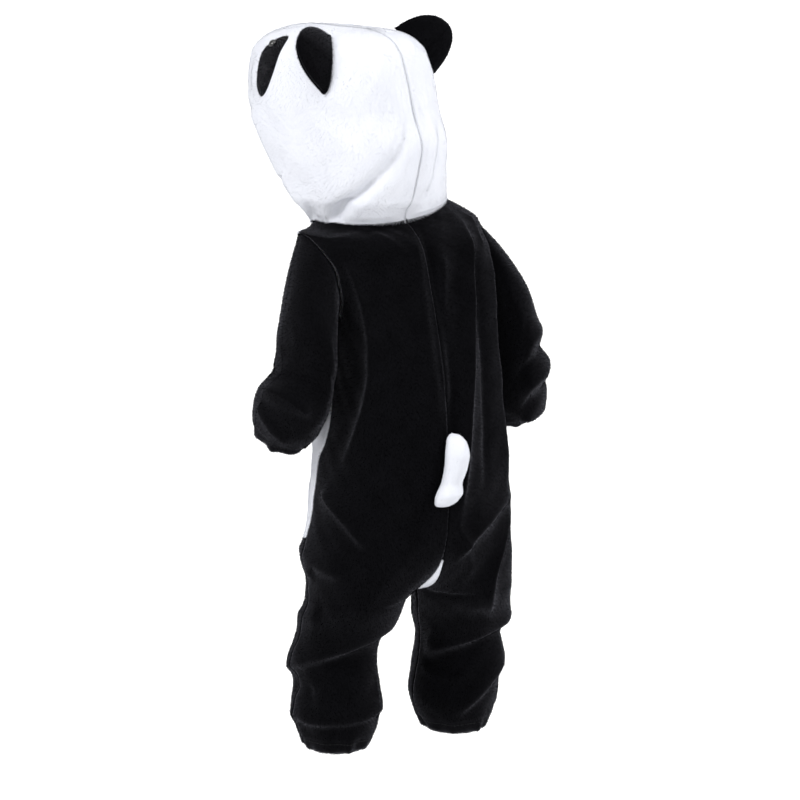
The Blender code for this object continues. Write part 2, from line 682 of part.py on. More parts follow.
def make_hood(rows):
    """The hood's two halves, joined over the crown from the brow to the nape."""
    opening = BROW / 2 * (1 - np.cos(np.linspace(0, math.pi, HOOD_ROWS_BELOW + 1)))
    up = np.concatenate([opening[:-1], np.linspace(BROW, CROWN, HOOD_ROWS_ABOVE + 1)])
    u = hood_columns(rows, up)
    turned = np.radians(HOOD.at(up, "turn"))
    across = stack(np.cos(turned), np.sin(turned), 0 * turned)[:, None]
    by_seam = (1 - smooth(np.minimum(u, 1 - u) / 0.1))[..., None] * SEAM_GAP / 2
    for side, name in SIDES:
        outer, inner = (grid + side * across * by_seam for grid in hood_wall(side, u, up[:, None]))
        finish("hood_" + name, wall_mesh(outer, inner), WHITE)


def hood_patch(side, centre, radii, slant, rings, lift):
    """Points of an oval laid on the hood, ring by ring from its middle, lifted off the cloth."""
    turn = np.linspace(0, 2 * math.pi, PATCH_STEPS + 1)[None, :]
    rings = np.asarray(rings)[:, None]
    across, along = radii[0] * np.cos(turn) * rings, radii[1] * np.sin(turn) * rings
    narrow = 1 + PATCH_TAPER * np.sin(turn)
    across = across * narrow
    slant = math.radians(slant)
    u = centre[0] + (across * math.cos(slant) - along * math.sin(slant)) / CLOTH_PER_U
    up = centre[1] + across * math.sin(slant) + along * math.cos(slant)
    folded = np.where(u < 0, -u, u)
    sides = np.where(u < 0, -side, side)
    both = {s: hood_wall(s, folded, up, APPLIQUE, lift) for s in (1, -1)}
    pick = (sides > 0)[..., None]
    return tuple(np.where(pick, both[1][k], both[-1][k]) for k in (0, 1))


def make_face():
    """Eye patches and a small nose, cut from black plush and laid on the hood."""
    rings = (0, 0.35, 0.7, 1)
    for side, name in SIDES:
        outer, inner = hood_patch(side, EYE_PATCH_AT, EYE_PATCH_RADII, EYE_PATCH_SLANT, rings,
                                  PATCH_LIFT + APPLIQUE)
        finish("eye_patch_" + name, wall_mesh(outer, inner, closed_round=True, sewn=False), BLACK)
    outer, inner = hood_patch(1, NOSE_AT, NOSE_RADII, 0, rings, PATCH_LIFT + APPLIQUE)
    finish("nose_patch", wall_mesh(outer, inner, closed_round=True, sewn=False), BLACK)


def make_ears():
    """Each ear is a stuffed D of plush whose base follows the hood."""
    for side, name in SIDES:
        caps = hood_patch(side, EAR_AT, EAR_RADII, EAR_SLANT, (0, 0.5, 0.94), PATCH_LIFT)[0]
        root = hood_patch(side, EAR_AT, EAR_RADII, EAR_SLANT, (1,), PATCH_LIFT)[0][0]
        middle = root[:-1].mean(axis=0)
        turned = math.radians(HOOD_ROWS[4][7])
        aside = np.array([math.cos(turned) * side, math.sin(turned), 0.0])
        out = unit(aside * EAR_OUT[0] + np.array([0, 0, EAR_OUT[1]])
                   + np.array([math.sin(turned), -math.cos(turned), 0]) * EAR_OUT[2])
        dome = []
        for rise in np.sin(np.linspace(0, math.pi / 2, EAR_ROWS + 1)):
            scale = math.sqrt(max(0.0, 1 - rise * rise))
            flat = root - middle
            along_out = (flat @ out)[:, None] * out
            dome.append(middle + (flat - along_out) * scale + along_out * scale * (1 - rise)
                        + out * EAR_HEIGHT * rise)
        rings = np.concatenate([caps, np.array(dome)])
        bm, _ = grid_mesh(rings)
        finish("ear_" + name, bm, BLACK)


def make_tail():
    """The stuffed white tail, sewn on the centre back seam and hanging down it."""
    place = np.linspace(0, 1, len(TAIL_ROWS))
    turn = np.linspace(0, 2 * math.pi, TAIL_STEPS + 1)
    rings = []
    for down, shift, half_width, half_thick in TAIL_ROWS:
        outer, inner = body_wall(1, np.array([1.0]), np.array([down]))
        outward = unit(outer - inner)[0]
        centre = outer[0] + outward * (half_thick + TAIL_CLEARANCE) + np.array([shift, 0, 0])
        rings.append(centre + half_width * np.cos(turn)[:, None] * np.array([1.0, 0, 0])
                     + half_thick * np.sin(turn)[:, None] * outward)
    bm, _ = grid_mesh(np.array(rings))
    finish("tail", bm, WHITE)


def make_zip(rows):
    """Two zip tapes down the centre front, from the neck to the gusset."""
    rows = split_rows(rows, 0, GROIN_AT_SIDE)
    lower = smooth((rows - GROIN_AT_SIDE) / GROIN_BLEND + 1)
    u = np.stack([np.zeros(len(rows)), zip_u(rows) * 0.5, zip_u(rows)], axis=1)
    down = rows[:, None] + (groin_down(u) - GROIN_AT_SIDE) * lower[:, None]
    for side, name in SIDES:
        outer, inner = body_wall(side, u, down, ZIP_TAPE, -0.6)
        finish("zip_tape_" + name, wall_mesh(outer, inner), BLACK)


def block_mesh(across, along, out, filled):
    """A closed block from the filled cells of a small grid, its sharp edges bevelled."""
    bm = bmesh.new()
    corners = {}

    def corner(i, j, k):
        if (i, j, k) not in corners:
            corners[i, j, k] = bm.verts.new((across[i], along[j], out[k]))
        return corners[i, j, k]

    around = ((0, 0), (1, 0), (1, 1), (0, 1))
    for cell in sorted(filled):
        for axis in range(3):
            for end in (0, 1):
                beyond = tuple(c + (2 * end - 1) * (n == axis) for n, c in enumerate(cell))
                if beyond in filled:
                    continue
                offsets = [list(pair[:axis]) + [end] + list(pair[axis:]) for pair in around]
                bm.faces.new([corner(*(c + o for c, o in zip(cell, offset))) for offset in offsets])
    bmesh.ops.recalc_face_normals(bm, faces=bm.faces[:])
    sharp = [edge for edge in bm.edges if edge.calc_face_angle(0) > 0.5]
    bmesh.ops.bevel(bm, geom=sharp, offset=METAL_BEVEL, segments=1, affect="EDGES")
    bmesh.ops.triangulate(bm, faces=bm.faces[:])
    return bm


def place(bm, origin, across, along, out):
    """Move a block's points from its own grid to where its three directions lie."""
    for vertex in bm.verts:
        vertex.co = origin + across * vertex.co.x + along * vertex.co.y + out * vertex.co.z


def make_zip_metal():
    """The slider near the top of the zip, and its pull, which swings in the slider's arch."""
    middle, above, below = (body_surface(1, 0.0, SLIDER_AT + s) for s in (0, -5, 5))
    out = body_outward(1, np.array(0.0), np.array(SLIDER_AT), lambda u, d: body_surface(1, u, d))
    along = unit(below - above)
    across = unit(np.cross(along, out))
    out = np.cross(across, along)
    base = middle + out * (SEAM_GAP - 0.6 + 0.3)
    slab = {(i, j, 0) for i in range(3) for j in range(5)}
    arch = {(1, 1, 1), (1, 3, 1), (1, 1, 2), (1, 2, 2), (1, 3, 2)}
    slider = block_mesh(SLIDER_ACROSS, SLIDER_ALONG, SLIDER_OUT, slab | arch)
    for vertex in slider.verts:
        vertex.co.x *= 1 - SLIDER_TAPER * float(smooth((vertex.co.y + 2) / 8.5))
    place(slider, base, across, along, out)
    finish("zip_slider", slider, METAL, 0.35, 1.0)

    axle = base + out * (SLIDER_OUT[1] + SLIDER_OUT[2]) / 2
    hang = np.array([0.0, 0.0, -1.0])
    hang = unit(hang - across * (hang @ across))
    plate = {(i, j, 0) for i in range(3) for j in range(6)} - {(1, 1, 0)}
    pull = block_mesh(PULL_ACROSS, PULL_ALONG, PULL_OUT, plate)
    for vertex in pull.verts:
        widen = 1 + 0.3 * float(smooth((vertex.co.y - 6) / 8)) - 0.5 * float(smooth((vertex.co.y - 18) / 6))
        vertex.co.x *= widen
    place(pull, axle, across, hang, np.cross(across, hang))
    finish("zip_pull", pull, METAL, 0.35, 1.0, origin=axle)


def main():
    clear_scene()
    rows = body_rows()
    make_backs(rows)
    make_fronts(rows)
    make_leg_fronts(rows)
    make_gusset(rows)
    make_sleeves()
    make_hood(rows)
    make_face()
    make_ears()
    make_tail()
    make_zip(rows)
    make_zip_metal()


main()
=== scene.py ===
import math
from functools import partial

import bmesh
import bpy
import numpy as np
from mathutils import Matrix, Vector


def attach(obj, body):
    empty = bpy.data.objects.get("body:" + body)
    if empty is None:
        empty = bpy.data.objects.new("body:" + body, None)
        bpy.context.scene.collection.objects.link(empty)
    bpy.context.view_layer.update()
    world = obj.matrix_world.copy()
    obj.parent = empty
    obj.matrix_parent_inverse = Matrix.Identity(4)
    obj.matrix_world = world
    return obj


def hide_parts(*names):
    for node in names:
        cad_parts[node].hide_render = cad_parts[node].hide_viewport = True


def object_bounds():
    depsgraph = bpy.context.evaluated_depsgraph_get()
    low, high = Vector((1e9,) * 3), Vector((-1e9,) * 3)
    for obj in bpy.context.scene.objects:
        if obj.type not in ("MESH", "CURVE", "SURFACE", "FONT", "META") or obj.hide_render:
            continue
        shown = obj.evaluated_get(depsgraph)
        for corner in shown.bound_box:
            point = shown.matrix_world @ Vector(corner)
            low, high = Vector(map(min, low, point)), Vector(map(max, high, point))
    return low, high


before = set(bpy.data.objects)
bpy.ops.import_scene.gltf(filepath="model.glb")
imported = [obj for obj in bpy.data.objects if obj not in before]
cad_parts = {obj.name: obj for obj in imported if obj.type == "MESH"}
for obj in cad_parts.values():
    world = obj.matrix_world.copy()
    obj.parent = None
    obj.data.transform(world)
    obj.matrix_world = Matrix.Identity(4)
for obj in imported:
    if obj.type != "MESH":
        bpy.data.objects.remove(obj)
cad_low, cad_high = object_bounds()

# ---------------------------------------------------------------------------------------------
# The studio: a pale floor a little below the hems, a white surround, four soft lamps, and the
# camera behind the wearer's left shoulder, a little above the middle of the garment.
MM = 0.001
CAMERA_AZIMUTH, CAMERA_ELEVATION = math.radians(153), math.radians(13)
CAMERA_DISTANCE = 3.3
CAMERA_LENS, CAMERA_SENSOR = 137.5, 36.0
LOOK_AT = Vector((0.0106, -0.0054, -0.200))
FLOOR_BELOW, FLOOR_SIZE = 45 * MM, 80.0
SURROUND_SEEN, SURROUND_LIGHT = 1.0, 0.62
# azimuth, elevation, distance, size and power of each lamp, and what it does
LAMPS = {
    "key": (100, 38, 2.4, 1.0, 30),
    "fill": (205, 36, 2.6, 1.6, 22),
    "rim": (262, 30, 2.4, 1.0, 20),
    "top": (150, 78, 2.4, 1.6, 12),
}


def around(target, azimuth, elevation, distance):
    """A point round the target: azimuth 0 is in front of the garment and 90 at its left."""
    level = math.cos(elevation)
    return target + distance * Vector((math.sin(azimuth) * level, -math.cos(azimuth) * level,
                                       math.sin(elevation)))


def put(thing, place, target):
    """A lamp or camera in the scene, looking at a target."""
    thing = bpy.data.objects.new(thing.name, thing)
    thing.location = place
    thing.rotation_euler = (target - place).to_track_quat("-Z", "Y").to_euler()
    bpy.context.scene.collection.objects.link(thing)
    return thing


camera = bpy.data.cameras.new("camera")
camera.lens, camera.sensor_width = CAMERA_LENS, CAMERA_SENSOR
bpy.context.scene.camera = put(
    camera, around(LOOK_AT, CAMERA_AZIMUTH, CAMERA_ELEVATION, CAMERA_DISTANCE), LOOK_AT)

for lamp_name, (azimuth, elevation, distance, size, power) in LAMPS.items():
    lamp = bpy.data.lights.new(lamp_name, "AREA")
    lamp.shape, lamp.size, lamp.energy = "DISK", size, power
    put(lamp, around(LOOK_AT, math.radians(azimuth), math.radians(elevation), distance), LOOK_AT)

world = bpy.data.worlds.new("studio")
bpy.context.scene.world = world
world.use_nodes = True
backdrop = world.node_tree.nodes["Background"]
backdrop.inputs["Color"].default_value = (1.0, 1.0, 1.0, 1.0)
seen = world.node_tree.nodes.new("ShaderNodeLightPath")
strength = world.node_tree.nodes.new("ShaderNodeMapRange")
strength.inputs["To Min"].default_value = SURROUND_LIGHT
strength.inputs["To Max"].default_value = SURROUND_SEEN
world.node_tree.links.new(seen.outputs["Is Camera Ray"], strength.inputs["Value"])
world.node_tree.links.new(strength.outputs["Result"], backdrop.inputs["Strength"])
bpy.context.scene.view_settings.view_transform = "Standard"


class Value:
    """A shader value that Python's operators work on; each one adds a Math node."""

    def __init__(self, finish, socket):
        self.finish, self.socket = finish, socket

    def math(self, operation, *others):
        return self.finish.node("ShaderNodeMath", {"operation": operation}, dict(enumerate((self, *others))))

    def __add__(self, other):
        return self.math("ADD", other)

    def __mul__(self, other):
        return self.math("MULTIPLY", other)

    __radd__, __rmul__ = __add__, __mul__

    def between(self, low, high):
        """0 below low, 1 above high and a soft step between."""
        return self.finish.node("ShaderNodeMapRange", {"interpolation_type": "SMOOTHSTEP"},
                                {"Value": self, "From Min": low, "From Max": high})


class Finish:
    """A material: constants set on its shader, and the nodes that drive what varies."""

    def __init__(self, name, **constants):
        self.material = bpy.data.materials.new(name)
        self.material.use_nodes = True
        self.tree = self.material.node_tree
        self.shader = self.tree.nodes["Principled BSDF"]
        for socket, value in constants.items():
            value = (*value, 1.0) if isinstance(value, tuple) else value
            self.shader.inputs[socket.replace("_", " ")].default_value = value

    def node(self, kind, settings, inputs, output=0):
        made = self.tree.nodes.new(kind)
        for key, value in settings.items():
            setattr(made, key, value)
        for key, value in inputs.items():
            self.feed(made.inputs[key], value)
        return Value(self, made.outputs[output])

    def feed(self, socket, value):
        if isinstance(value, Value):
            self.tree.links.new(value.socket, socket)
        else:
            socket.default_value = value

    def drive(self, **inputs):
        for socket, value in inputs.items():
            self.feed(self.shader.inputs[socket.replace("_", " ")], value)

    def noise(self, place, scale):
        return self.node("ShaderNodeTexNoise", {}, {"Vector": place, "Scale": scale, "Detail": 2.0})

    def blend(self, share, first, second):
        """A colour between two others."""
        return self.node("ShaderNodeMix", {"data_type": "RGBA"},
                         {"Factor": share, 6: (*first, 1.0), 7: (*second, 1.0)}, output=2)

    def raised(self, height, strength, distance):
        return self.node("ShaderNodeBump", {}, {"Height": height, "Strength": strength, "Distance": distance})

    def stretched(self, name, scale):
        """The piece's own cloth map, or its object coordinates, stretched by an uneven scale."""
        if name:
            place = self.node("ShaderNodeUVMap", {"uv_map": name}, {})
        else:
            place = self.node("ShaderNodeTexCoord", {}, {}, output="Object")
        return self.node("ShaderNodeMapping", {}, {"Vector": place, "Scale": scale})


def made_object(name, bm, *finishes):
    """An object in the scene from a bmesh and its materials."""
    made = bpy.data.objects.new(name, bpy.data.meshes.new(name))
    bm.to_mesh(made.data)
    bm.free()
    for finish in finishes:
        made.data.materials.append(finish.material)
    bpy.context.scene.collection.objects.link(made)
    return made


floor_mesh = bmesh.new()
bmesh.ops.create_grid(floor_mesh, x_segments=1, y_segments=1, size=FLOOR_SIZE / 2,
                      matrix=Matrix.Translation((0, 0, cad_low.z - FLOOR_BELOW)))
floor_finish = Finish("pale floor", Base_Color=(0.93, 0.93, 0.935), Roughness=0.9, Specular_IOR_Level=0.1,
                      Emission_Strength=1.0)
floor_seen = floor_finish.node("ShaderNodeLightPath", {}, {}, output="Is Camera Ray")
floor_finish.drive(Emission_Color=floor_finish.blend(floor_seen, (0.1, 0.1, 0.1), (1.0, 1.0, 1.0)))
made_object("floor", floor_mesh, floor_finish)

# ---------------------------------------------------------------------------------------------
# The back, in two halves of black plush, each cut in one from shoulder to hem.  The cloth is a
# knitted backing with a short dense pile; it hangs from the shoulders in long soft folds.
SIDES = ((1, "left"), (-1, "right"))
CLOTH_PER_U = 315.0       # millimetres of cloth round one half of the body, u from 0 to 1
TINY = 1e-6
SLOPE_STEP = 3.0          # how far apart the points that a slope is taken from lie
BLACK_PILE_HEIGHT = 1.7   # the backing lies this far below the pile's reach
BACKING = 0.9
BLACK_SEAM_DIP, SEAM_REACH = 0.2, 2.6
SEAM_CALM = 0.06          # how far from a centre seam, in u, the cloth's unevenness fades out
NECK_TURN = 9.0           # how near the neck seam the cloth turns in level
SEAM_ALLOWANCE = 4.0      # the cloth beyond a seam, turned to the inside
RIM_ROLL, RIM_REACH = 2.6, 3.6
GRID_STEP, WELD = 3.4, 0.02     # the spacing of the cloth's mesh, and of points that are one
FLAT_SHADED = 0.3         # a strip turned in this steeply is shaded flat
BLADES_PER_MM2 = 0.75
BLADE_WIDTH, BLADE_LEAN, BLADE_SCATTER = 0.42, 0.55, 0.45
BLADE_JITTER, BLADE_HEIGHTS, BLADE_ROOT, BLADE_SHADE = 0.9, (0.75, 1.15), 0.25, 0.15
EDGE_CROWDING = 1.02      # the pile stands closer along a piece's edges
FRINGE_REACH, FRINGE_LIFT = 2.6, 0.35     # where the pile hangs over a seam
STREAKS_PER_M, PATCHES_PER_M, PATCH_EDGES = 900.0, 38.0, (0.36, 0.64)
RIBS_PER_M = 260.0

# down the side from the neck, in millimetres; u runs from the centre front over the side (0.5)
# to the centre back (1), and once round a leg
NECK_FRONT_DROP, NECK_DROP_FADE = 26.0, 120.0
NECK_SIDE_RISE, NECK_LEAN, NECK_LEAN_FROM, NECK_FADE = 4.0, 0.10, -55.0, 60.0
CROTCH_START, FORK, GUSSET_TOP = 365.0, 448.0, 398.0
GUSSET_HALF_WIDTH, GUSSET_END, GUSSET_FADE = 9.0, 1.0, 8.0
GROIN_AT_SIDE, GROIN_AT_CENTRE, GROIN_BLEND = 383.0, 422.0, 60.0
HEM = 629.0
BODY_COLUMNS = "down z half_width back_depth front_depth centre_x centre_y square"
BODY_ROWS = [
    (0, 6, 75, 64, 55, 12, -54, 2.0),
    (20, -2, 88, 65, 60, 7, -50, 2.0),
    (42, -13, 104, 68, 66, 5, -44, 2.1),
    (66, -31, 104, 72, 71.5, 2, -38, 2.3),
    (98, -60, 96, 75, 75, -1, -34, 2.6),
    (138, -100, 89, 80, 80, -2, -25, 2.9),
    (188, -150, 87, 87, 87, -2, -17, 2.9),
    (228, -190, 91, 92, 92, -1, -12, 2.6),
    (268, -230, 98, 95, 95, 0, -8, 2.4),
    (308, -270, 105, 96, 96, 0, -6, 2.2),
    (348, -310, 110, 96, 96, 1, -5, 2.1),
    (388, -350, 114, 95, 95, 3, -6, 2.0),
    (448, -410, 114, 88, 88, 3, -6, 2.0),
]
LEG_COLUMNS = "down z inner half_width centre_y half_depth"
LEG_ROWS = [
    (365, -327, 0, 58, -4, 84),
    (448, -410, 9, 54, -2, 62),
    (488, -450, 20, 50, -18, 54),
    (518, -480, 28, 48, -29, 50),
    (558, -520, 24, 50, -32, 51),
    (582, -544, 21, 51, -33, 52),
    (610, -571, 28, 45, -32, 46),
    (629, -590, 38, 36, -31, 37),
]
SIDE_SEAM_COLUMNS = "down u"
SIDE_SEAM_ROWS = [(0, 0.37), (44, 0.47), (140, 0.50), (268, 0.50), (300, 0.458), (390, 0.455), (470, 0.48),
                  (640, 0.50)]
ARMHOLE_MIDDLE, ARMHOLE_HALF, ARMHOLE_U = 98.0, 54.0, 0.135
ARMHOLE_LINES, CROTCH_LINES = 25, 19      # lines of the mesh that meet each curve's turn

# each fold's side (0 for both), u and down at its start and at its end, bow, width, ridge and step.
# A ridge stands out (+) or is a trough (-); a step bulges above its line and tucks in below it.
BODY_FOLDS = [
    (1, 0.985, 40, 0.985, 262, 8, 12, 4, -1),
    (-1, 0.968, 30, 0.972, 320, 0, 8, -4, 0),
    (1, 0.655, 66, 0.60, 298, -30, 9, 7, 2),
    (-1, 0.89, 62, 0.985, 236, -9, 11, 5, 1),
    (-1, 0.70, 24, 0.948, 352, -13, 9, 8, 3),
    (-1, 0.71, 60, 0.83, 330, -8, 9, -5, 0),
    (-1, 0.60, 62, 0.69, 345, -18, 10, 8, 2),
    (-1, 0.65, 352, 0.715, 485, -13, 9, 7, 2),
    (-1, 0.64, 342, 0.95, 405, -12, 10, 5, 2),
    (1, 0.50, 328, 0.72, 382, -5, 9, 5, 2),
    (1, 0.36, 400, 0.64, 416, 0, 12, 5, 2),
    (1, 0.36, 552, 0.95, 474, 0, 13, 1, 6),
    (-1, 0.50, 490, 0.97, 538, -4, 13, 3, 6),
    (1, 0.50, 592, 0.95, 584, 3, 10, 0, 3),
    (-1, 0.50, 528, 0.82, 606, 0, 10, 2, 3),
    (1, 0.10, 480, 0.36, 520, 4, 12, 2, 4),
    (-1, 0.08, 506, 0.40, 484, 4, 12, 2, 4),
    (1, 0.24, 170, 0.32, 300, 8, 14, 4, 0),
    (-1, 0.22, 190, 0.30, 330, -8, 14, 4, 0),
]
BODY_SMALL_FOLDS = [
    (-1, 0.64, 22, 0.67, 74, 0, 4, 1.6, 0),
    (-1, 0.60, 60, 0.70, 150, 3, 5, 1.4, 0),
    (-1, 0.96, 352, 0.88, 388, -3, 4, 2.0, 0),
    (-1, 0.95, 368, 0.84, 424, 4, 5, 1.4, 0),
    (1, 0.86, 396, 0.70, 452, 6, 7, 1.4, 0),
    (1, 0.62, 96, 0.74, 120, 5, 6, 1.3, 0),
    (1, 0.80, 20, 0.93, 70, 4, 8, 1.3, 0),
    (1, 0.76, 210, 0.90, 232, 5, 9, 1.0, 0),
    (1, 0.64, 541, 0.61, 572, 0, 5, 1.9, 0),
    (1, 0.88, 538, 0.86, 572, 0, 5, 1.7, 0),
    (1, 0.56, 566, 0.90, 560, 3, 7, 1.2, 0),
    (-1, 0.92, 496, 0.95, 524, 0, 4, 1.7, 0),
    (-1, 0.97, 546, 0.80, 556, 0, 5, 0.6, 2),
    (-1, 0.56, 560, 0.60, 604, 0, 5, 1.5, 0),
    (-1, 0.62, 300, 0.62, 600, 0, 20, 5, 0),
    (1, 0.36, 408, 0.52, 420, 0, 9, 5, 0),
    (1, 0.38, 476, 0.56, 464, 0, 14, 5, 0),
    (1, 0.44, 558, 0.60, 552, 0, 6, -3.5, 0),
    (1, 0.44, 588, 0.66, 584, 0, 10, 4, 0),
    (-1, 0.76, 470, 0.88, 440, 4, 8, 1.4, 0),
    (1, 0.12, 300, 0.40, 340, 8, 9, 1.8, 0),
    (1, 0.14, 60, 0.24, 130, -6, 7, 1.6, 0),
    (-1, 0.12, 70, 0.25, 150, -6, 7, 1.6, 0),
    (-1, 0.10, 352, 0.36, 330, 8, 9, 1.8, 0),
    (1, 0.10, 556, 0.34, 548, 4, 8, 1.2, 1.4),
    (-1, 0.12, 560, 0.38, 570, 4, 8, 1.2, 1.4),
]
GATHERS_ROUND_LEG = 10
GATHER_HEIGHT, GATHER_REACH = 2.0, 16.0
CASING, CASING_TUCK, TUCK_REACH = 13.0, 0.9, 2.4     # the elastic's stitch line above an edge
CREST_SHARE, CREST_WIDTH = 0.34, 0.42     # how much of a fold's height stands in its narrow crest
STEP_GAIN = 1.65          # makes a step's greatest height its own number
# length and height of the waves of the cloth's slow unevenness
BUCKLES = ((71.0, 0.55), (43.0, 0.40), (27.0, 0.25))


class Table:
    """A size chart with named columns, read between its rows along a smooth monotone curve."""

    def __init__(self, columns, rows):
        self.columns = columns.split()[1:]
        chart = np.array(rows, float)
        self.key, self.values = chart[:, 0], chart[:, 1:]
        step = np.diff(self.key)[:, None]
        secant = np.diff(self.values, axis=0) / step
        before, after = secant[:-1], secant[1:]
        agree = before * after > 0
        mean = 2 * before * after / np.where(agree, before + after, 1.0)
        self.slope = np.vstack([secant[:1], np.where(agree, mean, 0.0), secant[-1:]])

    def at(self, key, *names):
        """The named columns at key, each an array of key's shape."""
        key = np.clip(key, self.key[0], self.key[-1])
        row = np.clip(np.searchsorted(self.key, key, side="right") - 1, 0, len(self.key) - 2)
        step = self.key[row + 1] - self.key[row]
        t = (key - self.key[row]) / step
        found = []
        for name in names:
            column = self.columns.index(name)
            start, end = self.values[row, column], self.values[row + 1, column]
            slope_0, slope_1 = self.slope[row, column] * step, self.slope[row + 1, column] * step
            found.append((2 * t**3 - 3 * t**2 + 1) * start + (t**3 - 2 * t**2 + t) * slope_0
                         + (3 * t**2 - 2 * t**3) * end + (t**3 - t**2) * slope_1)
        return found[0] if len(found) == 1 else found


BODY = Table(BODY_COLUMNS, BODY_ROWS)
LEG = Table(LEG_COLUMNS, LEG_ROWS)
SIDE_SEAM = Table(SIDE_SEAM_COLUMNS, SIDE_SEAM_ROWS)


def smooth(t):
    t = np.clip(t, 0.0, 1.0)
    return t * t * (3 - 2 * t)


def unit(vectors):
    length = np.linalg.norm(vectors, axis=-1, keepdims=True)
    return vectors / np.maximum(length, 1e-9)


def stack(x, y, z):
    return np.stack(np.broadcast_arrays(x, y, z), axis=-1)


def spread(*values):
    """Numbers or arrays, as float arrays of one shape."""
    return np.broadcast_arrays(*(np.asarray(value, float) for value in values))


def oval(angle, half_width, half_depth, square):
    """Radius of a rounded-square oval at an angle from the front."""
    side = np.abs(np.sin(angle)) / half_width
    front = np.abs(np.cos(angle)) / half_depth
    return (side**square + front**square) ** (-1 / square)


def fold_height(folds, side, across, along):
    """Height of all folds at points of the cloth laid flat; each crest is crisper than its flanks."""
    height = np.zeros(np.broadcast(across, along).shape)
    for fold_side, u0, down0, u1, down1, bow, width, ridge, step in folds:
        if fold_side not in (0, side):
            continue
        start = np.array([u0 * CLOTH_PER_U, down0])
        run = np.array([u1 * CLOTH_PER_U, down1]) - start
        length = np.hypot(*run)
        direction = run / length
        offset = across - start[0], along - start[1]
        t = (offset[0] * direction[0] + offset[1] * direction[1]) / length
        near = np.clip(t, 0, 1)
        beside = offset[1] * direction[0] - offset[0] * direction[1] - bow * 4 * near * (1 - near)
        beyond = (t - near) * length
        fade = smooth(np.minimum(near, 1 - near) * 5 + 0.15)
        for share, wide in ((1 - CREST_SHARE, width), (CREST_SHARE, width * CREST_WIDTH)):
            far = (beside**2 + beyond**2) / wide**2
            height += share * fade * np.exp(-far / 2) * (ridge - step * beside / wide * STEP_GAIN)
    return height


def buckling(side, across, along):
    """The slow unevenness of cloth that never lies quite flat."""
    height = np.zeros(np.broadcast(across, along).shape)
    for number, (length, high) in enumerate(BUCKLES):
        turned = 0.7 + 1.9 * number + 0.4 * side
        wave = (across * math.cos(turned) + along * math.sin(turned)) / length * 2 * math.pi
        other = (across * math.cos(turned + 1.3) - along * math.sin(turned + 1.3)) / length * 1.7 * math.pi
        height += high * np.sin(wave + side) * np.cos(other + number)
    return height


def gathers(round_edge, from_edge, count, side):
    """Puckers of cloth drawn in on elastic, and the tuck of the elastic's stitch line."""
    turn = 2 * math.pi * round_edge
    uneven = turn * count + 1.1 * np.sin(2 * turn + side) + 0.8 * np.sin(5 * turn + 2 * side)
    fade = np.exp(-(from_edge / GATHER_REACH) ** 2)
    tuck = CASING_TUCK * np.exp(-((from_edge - CASING) / TUCK_REACH) ** 2)
    return GATHER_HEIGHT * (0.75 + 0.25 * np.sin(3 * turn)) * np.sin(uneven) * fade - tuck


def body_shape(side, u, down):
    """The body without folds: a half oval above the fork that turns into the ring of one leg."""
    z, width, back, front, centre_x, centre_y, square = BODY.at(
        down, "z", "half_width", "back_depth", "front_depth", "centre_x", "centre_y", "square")
    angle = math.pi * u
    radius = oval(angle, width, np.where(np.cos(angle) > 0, front, back), square)
    tilt = NECK_SIDE_RISE * np.sin(angle) ** 2
    tilt = tilt - NECK_LEAN * (centre_x + side * radius * np.sin(angle) - NECK_LEAN_FROM)
    drop = NECK_FRONT_DROP * np.clip(np.cos(angle), 0, 1) ** 1.2 * (1 - smooth(down / NECK_DROP_FADE))
    slit_top = np.where(np.cos(angle) > 0, GROIN_AT_CENTRE, GUSSET_TOP)
    slit = GUSSET_END * smooth((down - slit_top) / GUSSET_FADE + 1)
    slit = slit + (GUSSET_HALF_WIDTH - GUSSET_END) * smooth((down - slit_top) / (FORK - slit_top))
    torso_x = radius * np.sin(angle) + slit * np.cos(angle) ** 6
    torso_y = centre_y - radius * np.cos(angle)
    leg_z, inner, leg_width, leg_y, leg_depth = LEG.at(
        down, "z", "inner", "half_width", "centre_y", "half_depth")
    leg_x = inner + leg_width * (1 - np.cos(2 * angle))
    leg_back = leg_y - leg_depth * np.sin(2 * angle)
    t = np.clip((down - CROTCH_START) / (FORK - CROTCH_START), 0, 1)
    leg = smooth(t) + (1 - np.sqrt(1 - t * t) - smooth(t)) * np.cos(angle) ** 2
    height = np.where(down < FORK, z, leg_z) + (1 - smooth(down / NECK_FADE)) * tilt - drop
    return stack(centre_x + side * (torso_x + (leg_x - torso_x) * leg),
                 torso_y + (leg_back - torso_y) * leg, height)


def slopes(surface, u, down, per_u):
    """The cloth's outward direction, from points a few millimetres apart each way."""
    step_u, step_down = SLOPE_STEP / per_u, SLOPE_STEP
    across = surface(u + step_u, down) - surface(u - step_u, down)
    along = surface(u, down + step_down) - surface(u, down - step_down)
    return unit(np.cross(across, along))


def on_centre(u):
    return (u < TINY) | (u > 1 - TINY)


def body_outward(side, u, down, shape):
    """Outward direction on the body; on the centre seams it stays in the middle plane."""
    outward = -slopes(shape, u, down, CLOTH_PER_U) * side
    on_seam = on_centre(u) & (down <= FORK + TINY)
    at_fork = on_seam & (down > FORK - TINY)
    outward = np.where(on_seam[..., None], unit(outward * np.array([0.0, 1.0, 1.0])), outward)
    return np.where(at_fork[..., None], np.array([0.0, 0.0, -1.0]), outward)


